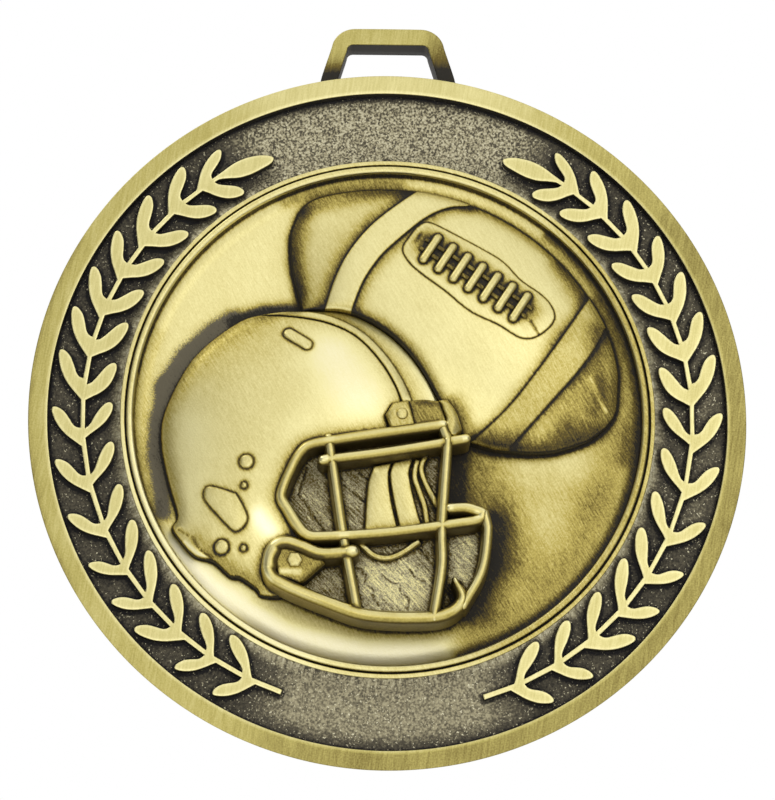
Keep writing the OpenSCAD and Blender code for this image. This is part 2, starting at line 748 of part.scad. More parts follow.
module guard_rear_upright() color("gold") upright()
    difference() {
        guard_wire(REAR_UPRIGHT, wire_w, guard_h - 2 * wire_step);
        on_lining(strip(LOOP_WIRE, wire_w));
        on_lining(strip(BROW_WIRE, wire_w));
        on_lining(strip(JAW_WIRE, jaw_w));
        on_lining(strip(LINK_REAR, wire_w));
    }

module guard_front_upright() color("gold") upright()
    difference() {
        guard_wire(FRONT_UPRIGHT, wire_w, guard_h);
        on_lining(strip(LOOP_WIRE, wire_w));
        on_lining(strip(BROW_WIRE, wire_w));
        on_lining(strip(LINK_FRONT, wire_w));
    }

module guard_jaw_wire() color("gold") upright()
    difference() {
        guard_wire(JAW_WIRE, jaw_w, guard_h);
        on_lining(strip(FRONT_UPRIGHT, wire_w));
    }

module guard_front_wire() color("gold") upright()
    difference() {
        guard_wire(FRONT_WIRE, wire_w, guard_h - wire_step);
        on_lining(strip(LOOP_WIRE, wire_w));
        on_lining(strip(JAW_WIRE, jaw_w));
    }

module jaw_clip() color("khaki") upright() {
    difference() {
        block(JAW_CLIP, guard_h - clip_drop);
        guard_plan();
    }
    translate([NUT[0], NUT[1], dish_h + guard_h - clip_drop])
        cylinder(r = nut_r, h = nut_t, $fn = 6);
}

base_disc();
outer_rim();
ribbon_loop();
wreath_field();
laurel_right();
laurel_left();
band_lip();
dish_bead();
centre_dish();
football_body();
football_stripe_left();
football_stripe_right();
lace_panel();
cross_laces();
lace_cords();
helmet_shell();
helmet_far_side();
crest_stripe();
crown_vent();
ear_boss();
shell_snaps();
front_bumper();
bumper_clips();
helmet_lining();
cheek_pads();
chin_cup();
guard_loop_wire();
guard_brow_wire();
guard_links();
guard_rear_upright();
guard_front_upright();
guard_jaw_wire();
guard_front_wire();
jaw_clip();
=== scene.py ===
import functools
import math

import bpy
import numpy as np
from bpy.props import FloatProperty, FloatVectorProperty, PointerProperty
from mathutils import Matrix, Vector
from mathutils.geometry import delaunay_2d_cdt
from mathutils.kdtree import KDTree


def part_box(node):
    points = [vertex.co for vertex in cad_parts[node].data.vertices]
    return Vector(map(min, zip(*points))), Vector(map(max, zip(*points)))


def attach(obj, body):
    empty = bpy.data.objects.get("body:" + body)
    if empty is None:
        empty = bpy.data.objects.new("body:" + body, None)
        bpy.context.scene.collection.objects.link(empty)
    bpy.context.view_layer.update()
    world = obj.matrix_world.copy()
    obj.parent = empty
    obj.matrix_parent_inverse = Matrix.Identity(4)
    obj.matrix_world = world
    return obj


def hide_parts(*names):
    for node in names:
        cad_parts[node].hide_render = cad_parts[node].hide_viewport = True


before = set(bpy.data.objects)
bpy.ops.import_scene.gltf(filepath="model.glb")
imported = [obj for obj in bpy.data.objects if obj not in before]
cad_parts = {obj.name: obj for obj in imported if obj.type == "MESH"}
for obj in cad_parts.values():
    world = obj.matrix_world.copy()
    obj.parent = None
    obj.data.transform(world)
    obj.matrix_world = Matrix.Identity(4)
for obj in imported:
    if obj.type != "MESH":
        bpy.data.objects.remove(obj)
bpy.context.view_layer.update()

bl_info = {
    "name": "Award medal finish",
    "version": (1, 0, 0),
    "blender": (4, 5, 0),
    "location": "View3D > Sidebar > Medal",
    "description": "Cast relief, wires and antique gold finish for the packed medal",
    "category": "Object",
}

# The face is worked in millimetres as x to the right, z up and h, the height
# above the flat back. In the frame the face looks along -Y.
MM = 0.001
# Below 0 the scale runs to worn pale metal and to painted highlights.
BURNISH_AND_HIGHLIGHT, BLACK = -0.4, 1.0        # ends of the scale of tarnish; 0 is rubbed bright
FLAT = 0.002                        # mm, the most that a level face's heights differ
SIDE_W = 0.65                       # mm, the border of the disc that counts as its side
COVE_W = 1.45                       # mm, width of the cove round the dish
SWEEP_W = 1.6                       # mm, width of the field's sweep up to the lip
GROOVE_W, GROOVE_DEPTH = 0.16, 0.55
WIRE_STEP = 0.2
FIGURE_BASE = 1.3                   # mm above the back, under the dish's lowest point


def mm(value):
    """A length property, which Blender keeps in metres, in millimetres."""
    return value / MM


def srgb(red, green, blue):
    """Linear colour of a display colour given from 0 to 255."""
    parts = [c / 255 for c in (red, green, blue)]
    return [c / 12.92 if c < 0.04045 else ((c + 0.055) / 1.055) ** 2.4 for c in parts]


@functools.cache
def front(node):
    """Height of a node's highest point, in mm."""
    return -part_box(node)[0].y / MM


# ---- sizes and colours that a user would change ------------------------------


def length(name, description, value, low=0.0, high=10.0):
    return FloatProperty(name=name, description=description, default=value * MM,
                         min=low * MM, max=high * MM, unit="LENGTH", subtype="DISTANCE", precision=5)


def share(name, description, value):
    return FloatProperty(name=name, description=description, default=value, min=0.0, max=2.0)


def colour(name, description, value):
    return FloatVectorProperty(name=name, description=description, default=srgb(*value),
                               size=3, min=0.0, max=1.0, subtype="COLOR")


class MedalCasting(bpy.types.PropertyGroup):
    """Sizes of the cast surfaces that the CAD solids leave plain."""
    edge: length("Edge rounding", "Rounding of the figure's edges", 0.14)
    crisp_edge: length("Crisp rounding", "Rounding of the rim, the loop and the leaves", 0.08)
    sag: length("Dish sag", "How much deeper the dish is at its middle", 0.8)
    roll: share("Edge roll", "How far a tall form rolls over towards a deep drop beside it", 0.4)
    pitch: length("Mesh pitch", "Spacing of mesh points on open faces", 0.34, 0.2, 1.0)
    outline_step: length("Outline step", "Spacing of mesh points along an outline", 0.16, 0.1, 0.5)


class MedalTarnish(bpy.types.PropertyGroup):
    """How dark oxide gathers in the recesses."""
    contour: share("Contour", "Oxide in the corner at the foot of a step", 0.85)
    halo: share("Halo", "Oxide left within half a millimetre of a form", 0.45)
    gloom: share("Gloom", "Toning within two millimetres of a form", 0.25)
    rub: share("Rub", "How much a raised edge is rubbed bright", 0.35)


class MedalColours(bpy.types.PropertyGroup):
    """Colours of the antique gold, from worn pale metal and painted highlights to oxide."""
    # The palest tone, for worn metal and for painted highlights.
    burnished: colour("Burnished gold", "Gold worn to a pale shine", (254, 247, 214))
    pale: colour("Rubbed gold", "Gold on the highest places", (240, 230, 168))
    toned: colour("Toned gold", "Brushed gold where little rubbing reached", (188, 176, 104))
    honey: colour("Honey gold", "Satin gold where little rubbing reached", (190, 173, 94))
    brown: colour("Brown gold", "Gold under a thin oxide", (114, 99, 50))
    oxide: colour("Oxide", "Full oxide in the recesses", (40, 36, 28))
    bone: colour("Bone", "Bare grains on the blasted field", (214, 208, 178))
    ash: colour("Ash gold", "Greyed gold on the blasted field", (168, 160, 130))
    slate: colour("Slate", "Thin grey oxide on the blasted field", (102, 96, 80))
    soot: colour("Soot", "Full grey oxide on the blasted field", (34, 32, 31))


class MedalStudio(bpy.types.PropertyGroup):
    """Camera and light."""
    lens: FloatProperty(name="Lens", description="Focal length in millimetres", default=146.1)
    distance: length("Camera distance", "From the camera to the disc's middle", 320, 100, 2000)
    below: FloatProperty(name="Camera below", description="Angle below the medal's axis",
                         default=math.radians(14.81), subtype="ANGLE", unit="ROTATION")
    aside: FloatProperty(name="Camera aside", description="Angle to the medal's left",
                         default=math.radians(1.74), subtype="ANGLE", unit="ROTATION")
    floor_drop: length("Floor", "Depth of the floor below the disc's middle", 140, 50, 500)


# ---- reading the frame -------------------------------------------------------


def face_triangles(node, skip=None):
    """Corners (x, z, h) of a node's triangles that face the front, without the level skip."""
    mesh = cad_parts[node].data
    mesh.calc_loop_triangles()
    points = np.empty(len(mesh.vertices) * 3, np.float32)
    mesh.vertices.foreach_get("co", points)
    corners = np.empty(len(mesh.loop_triangles) * 3, np.int32)
    mesh.loop_triangles.foreach_get("vertices", corners)
    points = points.reshape(-1, 3)[corners.reshape(-1, 3)].astype(float) / MM
    points = np.stack([points[..., 0], points[..., 2], -points[..., 1]], -1)
    normals = np.cross(points[:, 1] - points[:, 0], points[:, 2] - points[:, 0])
    keep = normals[:, 2] > 0.1 * np.linalg.norm(normals, axis=1)
    if skip is not None:
        keep &= np.abs(points[..., 2] - skip).max(1) > FLAT
    return points[keep]


def plan(node, skip=None, low=-1.0):
    """Closed outlines of a node's face in plan, outer ones anticlockwise."""
    follows = {}
    triangles = face_triangles(node, skip)
    triangles = triangles[triangles[..., 2].mean(1) > low]
    for corners in np.round(triangles[..., :2] / MM).astype(int).tolist():
        keys = [tuple(c) for c in corners]
        for a, b in zip(keys, keys[1:] + keys[:1]):
            if a == b:
                continue
            if a in follows.get(b, ()):
                follows[b].remove(a)
            else:
                follows.setdefault(a, []).append(b)
    loops = []
    while any(follows.values()):
        start = next(k for k, v in follows.items() if v)
        loop = [start]
        while follows.get(loop[-1]):
            loop.append(follows[loop[-1]].pop())
            if loop[-1] == start:
                break
        loop = np.array(loop[:-1], float) * MM
        if len(loop) > 2 and abs(area(loop)) > 0.01:
            loops.append(loop)
    return loops


def area(loop):
    after = np.roll(loop, -1, 0)
    return 0.5 * np.sum(loop[:, 0] * after[:, 1] - loop[:, 1] * after[:, 0])


def powers(x, z):
    """Terms of a fourth-degree surface over the plan."""
    x, z = np.asarray(x) / 10, np.asarray(z) / 10
    return np.stack([x ** i * z ** j for i in range(5) for j in range(5 - i)], -1)


def face_of(node, skip=None):
    """The smooth face through a node's front corners, as height over x and z."""
    corners = np.unique(face_triangles(node, skip).reshape(-1, 3).round(4), axis=0)
    terms = np.linalg.lstsq(powers(corners[:, 0], corners[:, 1]), corners[:, 2], rcond=None)[0]
    return lambda x, z: powers(x, z) @ terms


def lift(node, face, skip=None):
    """How far a node's face stands over another face."""
    corners = face_triangles(node, skip).reshape(-1, 3)
    return float(np.median(corners[:, 2] - face(corners[:, 0], corners[:, 1])))


# ---- outlines ----------------------------------------------------------------


def spline(points, step, closed=True, corner=math.radians(34)):
    """Even points along a smooth line through the points, with sharp corners kept."""
    points = np.asarray(points, float)
    after = np.roll(points, -1, 0)
    keep = np.hypot(*(after - points).T) > 0.03
    if not closed:
        keep[-1] = True
    points = points[keep]
    while True:
        ahead = np.roll(points, -1, 0) - points
        behind = np.roll(ahead, 1, 0)
        turn = np.arctan2(behind[:, 0] * ahead[:, 1] - behind[:, 1] * ahead[:, 0], (behind * ahead).sum(1))
        straight = np.abs(turn) < math.radians(1.5)
        if not closed:
            straight[[0, -1]] = False
        straight[1:] &= ~straight[:-1]
        if not straight.any() or len(points) < 6:
            break
        points = points[~straight]
    count = len(points)
    ahead = np.roll(points, -1, 0) - points
    behind = np.roll(ahead, 1, 0)
    if not closed:
        ahead[-1] = behind[-1]
        behind[0] = ahead[0]
    turn = np.arctan2(behind[:, 0] * ahead[:, 1] - behind[:, 1] * ahead[:, 0], (behind * ahead).sum(1))
    through = ahead + behind
    through /= np.maximum(np.hypot(*through.T), 1e-9)[:, None]
    sharp = np.abs(turn) > corner
    line = []
    for i in range(count if closed else count - 1):
        j = (i + 1) % count
        chord = points[j] - points[i]
        reach = np.hypot(*chord)
        start = chord if sharp[i] else through[i] * reach
        end = chord if sharp[j] else through[j] * reach
        steps = max(1, round(reach / step))
        t = (np.arange(steps) / steps)[:, None]
        line.append((2 * t ** 3 - 3 * t ** 2 + 1) * points[i] + (t ** 3 - 2 * t ** 2 + t) * start
                    + (3 * t ** 2 - 2 * t ** 3) * points[j] + (t ** 3 - t ** 2) * end)
    if not closed:
        line.append(points[-1:])
    return np.concatenate(line)


def circle(radius, step, clockwise=False):
    count = int(2 * math.pi * radius / step)
    angles = np.arange(count) * 2 * math.pi / count * (-1 if clockwise else 1)
    return radius * np.column_stack([np.cos(angles), np.sin(angles)])


def arc(radius, start, end, step=4):
    """Points round the middle between two bearings in degrees, clockwise from the top."""
    bearings = np.radians(np.arange(start, end + 0.1, step))
    return radius * np.column_stack([np.sin(bearings), np.cos(bearings)])


def walls_of(points, top, edge):
    """Mask of the walls below a top face and its rounded edge."""
    return np.clip((top - points[:, 2]) / edge - 0.4, 0, 0.6) / 0.6


def inward(loop):
    """Unit vectors from an outline's points to its left, which is the inside."""
    along = np.roll(loop, -1, 0) - np.roll(loop, 1, 0)
    along /= np.maximum(np.hypot(*along.T), 1e-9)[:, None]
    return np.column_stack([-along[:, 1], along[:, 0]])


def covered(loops, xs, zs):
    """Which points of a grid lie inside outlines; xs may differ from row to row."""
    a = np.concatenate(loops)
    b = np.concatenate([np.roll(loop, -1, 0) for loop in loops])
    xs = np.broadcast_to(xs, (len(zs), np.shape(xs)[-1]))
    result = np.zeros(xs.shape, bool)
    for row, z in enumerate(zs):
        hit = (a[:, 1] <= z) != (b[:, 1] <= z)
        part = (z - a[hit, 1]) / (b[hit, 1] - a[hit, 1])
        crossings = np.sort(a[hit, 0] + part * (b[hit, 0] - a[hit, 0]))
        result[row] = np.searchsorted(crossings, xs[row]) % 2 == 1
    return result


def tree_of(loops):
    """Search tree of points close together along outlines."""
    dense = np.concatenate([loop + (np.roll(loop, -1, 0) - loop) * part / 4
                            for loop in loops for part in range(4)])
    tree = KDTree(len(dense))
    for i, (x, z) in enumerate(dense.tolist()):
        tree.insert((x, z, 0), i)
    tree.balance()
    return tree


def gap_to(tree, points):
    return np.array([tree.find((x, z, 0))[2] for x, z in np.asarray(points).tolist()])


def near_line(points, line, width):
    """1 on a line through a few points, falling away over the width."""
    line = np.asarray(line, float)
    best = np.full(len(points), np.inf)
    for a, b in zip(line[:-1], line[1:]):
        along = np.clip(((points - a) @ (b - a)) / max((b - a) @ (b - a), 1e-12), 0, 1)
        best = np.minimum(best, ((points - a - along[:, None] * (b - a)) ** 2).sum(1))
    return np.exp(-best / width ** 2)


# ---- the whole face as a height map ------------------------------------------


class Terrain:
    """Height of the whole face on a fine grid, and the same heights blurred, so that every
    surface knows how deep it lies among its neighbours."""
    COUNT = 1024
    PITCH = 0.07
    SCALES = {"fine": 0.16, "mid": 0.5, "broad": 1.5}

    def __init__(self):
        self.axis = (np.arange(self.COUNT) + 0.5 - self.COUNT / 2) * self.PITCH
        self.heights = np.zeros((self.COUNT, self.COUNT))

    def paint(self, loops, top):
        """Sets the height inside outlines to a number or a function of x and z."""
        corners = np.concatenate(loops)
        low = np.searchsorted(self.axis, corners.min(0) - self.PITCH)
        high = np.searchsorted(self.axis, corners.max(0) + self.PITCH)
        xs, zs = self.axis[low[0]:high[0]], self.axis[low[1]:high[1]]
        mask = covered(loops, xs, zs)
        x, z = np.meshgrid(xs, zs)
        value = top(x[mask], z[mask]) if callable(top) else top
        self.heights[low[1]:high[1], low[0]:high[0]][mask] = value

    def settle(self):
        """Blurs the heights at each scale, and finds where tarnish changes fast."""
        spectrum = np.fft.rfft2(self.heights)
        fx = np.fft.rfftfreq(self.COUNT, self.PITCH)
        fz = np.fft.fftfreq(self.COUNT, self.PITCH)
        square = fx[None, :] ** 2 + fz[:, None] ** 2
        self.blurred = {
            name: np.fft.irfft2(spectrum * np.exp(-2 * (math.pi * scale) ** 2 * square), self.heights.shape)
            for name, scale in self.SCALES.items()
        }
        depth = np.clip((self.blurred["fine"] - self.heights) / 0.15, -1, 1)
        change = np.hypot(*np.gradient(depth, self.PITCH))
        spread = np.exp(-2 * (math.pi * 0.12) ** 2 * square)
        self.busy = np.fft.irfft2(np.fft.rfft2(change) * spread, self.heights.shape)

    def sample(self, grid, x, z):
        """Value of a grid between its points."""
        u = np.clip((np.asarray(x) - self.axis[0]) / self.PITCH, 0, self.COUNT - 1.001)
        v = np.clip((np.asarray(z) - self.axis[0]) / self.PITCH, 0, self.COUNT - 1.001)
        i, j = u.astype(int), v.astype(int)
        u, v = u - i, v - j
        return ((grid[j, i] * (1 - u) + grid[j, i + 1] * u) * (1 - v)
                + (grid[j + 1, i] * (1 - u) + grid[j + 1, i + 1] * u) * v)

    def depth(self, scale, x, z, h):
        """How far a point lies below its surroundings, at one scale."""
        return self.sample(self.blurred[scale], x, z) - h


def radii(node):
    """Outer and inner radius of a round node's face."""
    reach = [np.hypot(*loop.T).max() for loop in plan(node)]
    return max(reach), min(reach) if len(reach) > 1 else 0.0


# Centre lines of the face guard's wires. The solids are cut back where two wires meet;
# these run on into each other.
WIRES = {
    "guard_loop_wire": [
        [(5.2, -1.6), (1, -2.2), (-5.8, -3.3), (-7.8, -3.8), (-8.7, -4.7), (-9.5, -6.3), (-10.2, -8.1),
         (-10.3, -9), (-9.7, -10.1), (-8.5, -12), (-7.8, -12.6), (-6.8, -12.75), (0, -12.3),
         (7, -11.3), (8.8, -10.9), (9, -10.3), (7.5, -9.85), (5.9, -9.9)]],
    "guard_brow_wire": [[(-6.2, -5.15), (0, -4.3), (7.4, -3)]],
    "guard_links": [[(-5.8, -3.0), (-5.5, -5.1)], [(5.1, -1.5), (5.8, -3.3)]],
    "guard_rear_upright": [[(-5.45, -5.2), (-4.4, -12.4), (-3.05, -19.8)]],
    "guard_front_upright": [[(5.7, -3.2), (5.1, -12), (5.1, -15.5), (4.3, -20.6)]],
    "guard_jaw_wire": [
        [(-3.5, -14.2), (-6.5, -14.4), (-8.4, -13.7), (-10, -13.3), (-11.1, -13.9), (-11.5, -15.8),
         (-10.8, -17), (-5, -19.5), (-2, -20.4), (3, -20.6), (5.6, -20.2), (7, -18.8), (6.3, -16.9)]],
    "guard_front_wire": [[(9.2, -10.4), (9.5, -12), (8.9, -16), (7.1, -19.4)]],
}


def strip(line, width):
    """Outline of a wire's plan."""
    along = np.gradient(line, axis=0)
    along /= np.hypot(*along.T)[:, None]
    side = np.column_stack([-along[:, 1], along[:, 0]]) * width / 2
    return np.concatenate([line - side, (line + side)[::-1]])


def wire_width(node):
    """Width of a wire between its dark flanks: thick for the jaw, thin elsewhere."""
    return {"guard_jaw_wire": 1.25, "guard_loop_wire": 1.05, "guard_brow_wire": 1.05}.get(node, 0.95)


def levels(node):
    """Heights of a node's flat faces, from the lowest up."""
    heights = face_triangles(node)[..., 2]
    flat = np.ptp(heights, axis=1) < FLAT
    return np.unique(heights[flat].mean(1).round(2)).tolist()


class Medal:
    """Outlines and faces of the figure, read from the frame once."""

    def __init__(self):
        settings = bpy.context.scene.medal_casting
        self.step = mm(settings.outline_step)
        self.sag = mm(settings.sag)
        self.lining_h = front("helmet_lining")
        self.disc_r = radii("outer_rim")[0]
        self.field_r, self.lip_r = radii("wreath_field")
        self.groove_r = radii("band_lip")[1]
        self.bead_r = self.groove_r - GROOVE_W
        self.dish_r = radii("centre_dish")[0]
        self.ball = face_of("football_body")
        self.shell = face_of("helmet_shell", skip=self.lining_h)
        self.outlines = {}
        self.faces = {}
        self.read_figure()
        self.terrain = self.survey()

    def raised(self, face, node):
        rise = lift(node, face)
        return lambda x, z: face(x, z) + rise

    def read_figure(self):
        on_ball = ["football_stripe_left", "football_stripe_right", "lace_panel", "lace_cords", "cross_laces"]
        on_shell = ["helmet_far_side", "crest_stripe", "crown_vent", "ear_boss", "shell_snaps"]
        flat = ["helmet_lining", "front_bumper", "bumper_clips", "cheek_pads", "chin_cup", "jaw_clip"]
        self.faces["football_body"] = self.ball
        self.faces["helmet_shell"] = self.shell
        self.faces.update({node: self.raised(self.ball, node) for node in on_ball})
        self.faces.update({node: self.raised(self.shell, node) for node in on_shell})
        self.faces.update({node: front(node) for node in flat})
        for node in self.faces:
            skip = None if node == "helmet_lining" else self.lining_h
            self.outlines[node] = [spline(loop, self.step) for loop in plan(node, skip)]
        for node in ("laurel_right", "laurel_left"):
            self.outlines[node] = [spline(loop, self.step * 0.8) for loop in plan(node)]
            self.faces[node] = front(node)

    def dish_height(self, x, z):
        """Dish floor with its sag, rising in a cove to the bead."""
        r = np.hypot(x, z)
        floor_r = self.dish_r - COVE_W
        low = front("dish_bead") - 1.7
        floor = low - self.sag * np.clip(1 - (r / floor_r) ** 2, 0, 1)
        swing = np.clip((r - floor_r) / (self.dish_r - floor_r), 0, 1)
        return floor + 0.5 * swing ** 1.7 + 0.6 * np.clip(16 * swing - 15, 0, 1)

    def field_height(self, x, z):
        """Flat field that sweeps up to the lip."""
        rise = np.clip((self.lip_r + SWEEP_W - np.hypot(x, z)) / SWEEP_W, 0, 1)
        return front("wreath_field") - 0.5 + 0.5 * rise ** 1.5

    def survey(self):
        """Paints every node's height into the terrain, from the back plate up."""
        land = Terrain()
        step = 0.2
        land.paint([circle(self.disc_r, step)], front("outer_rim"))
        land.paint([circle(self.field_r, step)], self.field_height)
        land.paint([circle(self.lip_r, step)], front("band_lip"))
        land.paint([circle(self.groove_r, step)], front("band_lip") - GROOVE_DEPTH)
        land.paint([circle(self.bead_r, step)], front("dish_bead"))
        land.paint([circle(self.dish_r, step)], self.dish_height)
        for node in ["laurel_right", "laurel_left", *[n for n in self.faces if "laurel" not in n]]:
            if self.outlines[node]:
                land.paint(self.outlines[node], self.faces[node])
        for node, lines in WIRES.items():
            for line in lines:
                land.paint([strip(spline(line, WIRE_STEP, closed=False), wire_width(node))], front(node))
        land.settle()
        return land


@functools.cache
def medal():
    """The one Medal that every operator shares."""
    return Medal()


# ---- mesh bodies -------------------------------------------------------------


@functools.cache
def edge_tree(node):
    """Search tree along a node's outline, or along both sides of a wire."""
    if node in WIRES:
        lines = [spline(line, WIRE_STEP, closed=False) for line in WIRES[node]]
        return tree_of([strip(line, wire_width(node)) for line in lines])
    return tree_of(medal().outlines[node])


def tarnish(points, start, stains=(), rings=(), gather=1.0):
    """Oxide on points (x, z, h), from the palest end below 0 over 0, rubbed, to BLACK. It gathers in hollows
    of the front, not on the side or the back.
    A line (line, width, amount) adds to it along a line, a ring (node, width, amount) along an outline. The
    callers' lines hold real toning, painted shade above 0 and painted highlights below 0."""
    settings = bpy.context.scene.medal_tarnish
    land = medal().terrain
    x, z, h = points.T
    on_disc = (np.hypot(x, z) < medal().disc_r - SIDE_W) & (h > 0.5)
    fine, mid, broad = (land.depth(scale, x, z, h) * on_disc for scale in ("fine", "mid", "broad"))
    hollow = settings.contour * np.clip(fine / 0.25, 0, 1) + settings.halo * np.clip(mid / 0.8, 0, 1)
    hollow += settings.gloom * np.clip(broad / 1.2, 0, 1)
    value = np.clip(start + gather * hollow - settings.rub * np.clip(-fine / 0.4, 0, 1), -0.1, 1)
    for line, width, amount in stains:
        value += amount * near_line(points[:, :2], line, width)
    for node, width, amount in rings:
        value += amount * np.exp(-(gap_to(edge_tree(node), points[:, :2]) / width) ** 2)
    return np.clip(value, BURNISH_AND_HIGHLIGHT, BLACK)


def round_over(gap, edge):
    """Drop of a surface at a distance from its own edge."""
    inset = np.clip(gap / max(edge, 1e-6), 0, 1)
    return edge * (1 - np.sqrt(np.clip(1 - (1 - inset) ** 2, 0, 1)))


def filling(loops, tree, pitch, edge):
    """Points inside outlines: rings along the edge, then a grid that is finer where it's busy."""
    land = medal().terrain
    found = []
    rounding = edge * (1 - np.cos(np.arange(1, 4) * math.pi / 8))
    insets = sorted({*rounding.tolist(), edge, edge + 0.1, edge + 0.24, edge + 0.42})
    for inset in insets:
        for loop in loops:
            ring = loop + inward(loop) * inset
            found.append(ring[gap_to(tree, ring) > inset * 0.93])
    corners = np.concatenate(loops)
    low, high = corners.min(0), corners.max(0)
    for size, busy, keep_off in ((pitch, -1, 0.5), (pitch / 2, 0.35, 0.6), (pitch / 3.4, 1.1, 0.7)):
        zs = np.arange(low[1], high[1], size * 0.87)
        xs = np.arange(low[0], high[0], size) + (np.arange(len(zs)) % 2)[:, None] * size / 2
        z = np.broadcast_to(zs[:, None], xs.shape)
        wanted = covered(loops, xs, zs) & (land.sample(land.busy, xs, z) > busy)
        grid = np.column_stack([xs[wanted], z[wanted]])
        if len(grid):
            found.append(grid[gap_to(tree, grid) > edge + keep_off * size])
    points = np.concatenate([f for f in found if len(f)])
    cells = np.round(points / 0.045).astype(int)
    return points[np.sort(np.unique(cells, axis=0, return_index=True)[1])]


def triangulate(loops, points):
    """Triangles over outlines and inner points, and where each outline point ended up."""
    border = np.concatenate(loops)
    starts = np.cumsum([0, *[len(loop) for loop in loops]])
    rings = [list(range(a, b)) for a, b in zip(starts[:-1], starts[1:])]
    everything = np.concatenate([border, points]) if len(points) else border
    result = delaunay_2d_cdt([Vector(p) for p in everything.tolist()], [], rings, 2, 1e-6)
    spots = np.array([tuple(v) for v in result[0]])
    faces = np.array(result[2])
    where = np.full(len(everything), -1)
    for new, olds in enumerate(result[3]):
        where[olds] = new
    used, faces = np.unique(np.append(faces, where[:len(border)]), return_inverse=True)
    where = faces[-len(border):]
    faces = faces[:-len(border)].reshape(-1, 3)
    spots = spots[used]
    a, b, c = spots[faces[:, 0]], spots[faces[:, 1]], spots[faces[:, 2]]
    turned = (b - a)[:, 0] * (c - a)[:, 1] - (b - a)[:, 1] * (c - a)[:, 0] < 0
    faces[turned] = faces[turned][:, ::-1]
    return spots, faces, where


def relief(loops, top, base, edge, start=0.0, stains=(), rings=(), gather=1.0, pitch=None, shape=None,
           back_edge=0.0, roll=None):
    """Closed body over outlines: its face at top, its edge rounded, and its flat back at base.
    top is a number or a function of x and z; shape(points, gap) adds to the face's height."""
    settings = bpy.context.scene.medal_casting
    land = medal().terrain
    pitch = pitch or mm(settings.pitch)
    roll = settings.roll if roll is None else roll
    tree = tree_of(loops)
    spots, faces, rim = triangulate(loops, filling(loops, tree, pitch, edge))
    gap = gap_to(tree, spots)
    gap[rim] = 0
    height = top(spots[:, 0], spots[:, 1]) if callable(top) else np.full(len(spots), float(top))
    fall = np.clip(height - land.sample(land.blurred["mid"], *spots.T), 0, None)
    height = height - roll * fall - round_over(gap, edge)
    if shape is not None:
        height = height + shape(spots, gap)
    points = [np.column_stack([spots, height])]
    bodies = [faces]
    first, total = 0, len(spots)
    for loop in loops:
        count = len(loop)
        upper = rim[first:first + count]
        first += count
        top_edge = np.column_stack([spots[upper], height[upper]])
        depth = top_edge[:, 2].min() - base
        drops = [d for d in (0.12, 0.35, 0.8, 1.6) if d < depth - 0.1]
        rows = [top_edge - (0, 0, d) for d in drops]
        if back_edge:
            rows.append(np.column_stack([spots[upper], np.full(count, base + back_edge)]))
        foot = spots[upper] + inward(spots[upper]) * back_edge
        rows.append(np.column_stack([foot, np.full(count, base)]))
        above = upper
        for row in rows:
            below = total + np.arange(count)
            total += count
            points.append(row)
            bodies.append(np.column_stack([above, below, np.roll(below, -1)]))
            bodies.append(np.column_stack([above, np.roll(below, -1), np.roll(above, -1)]))
            above = below
        loops_at = above if first == count else np.concatenate([loops_at, above])
    feet = np.concatenate(points)[loops_at][:, :2]
    parts = np.split(feet, np.cumsum([len(loop) for loop in loops])[:-1])
    spots, back, order = triangulate(parts, np.empty((0, 2)))
    back_of = np.full(len(spots), -1)
    back_of[order] = loops_at
    extra = np.flatnonzero(back_of < 0)
    back_of[extra] = total + np.arange(len(extra))
    points.append(np.column_stack([spots[extra], np.full(len(extra), base)]))
    bodies.append(back_of[back][:, ::-1])
    points = np.concatenate(points)
    return points, np.concatenate(bodies), tarnish(points, start, stains, rings, gather)


def lathe(profile, start=0.0, stains=(), steps=720):
    """Ring turned from a closed profile of (radius, height), listed anticlockwise."""
    profile = np.asarray(profile, float)
    count = len(profile)
    angles = np.arange(steps) * 2 * math.pi / steps
    points = np.column_stack([
        np.outer(np.cos(angles), profile[:, 0]).ravel(),
        np.outer(np.sin(angles), profile[:, 0]).ravel(),
        np.tile(profile[:, 1], steps),
    ])
    here = (np.arange(steps) * count)[:, None] + np.arange(count)
    ahead = np.roll(here, -1, 0)
    quads = np.stack([here, ahead, np.roll(ahead, -1, 1), np.roll(here, -1, 1)], -1).reshape(-1, 4)
    return points, quads, tarnish(points, start, stains)


def eased(corners, sizes, steps=5):
    """Profile through corners (radius, height) with each corner rounded by its size."""
    corners = [np.array(c, float) for c in corners]
    line = []
    for i, (corner, size) in enumerate(zip(corners, sizes)):
        back, ahead = corners[i - 1] - corner, corners[(i + 1) % len(corners)] - corner
        if size == 0:
            line.append(corner)
            continue
        a = corner + back / np.linalg.norm(back) * size
        b = corner + ahead / np.linalg.norm(ahead) * size
        for k in range(steps + 1):
            t = k / steps
            line.append((1 - t) ** 2 * a + 2 * t * (1 - t) * corner + t ** 2 * b)
    return np.array(line)


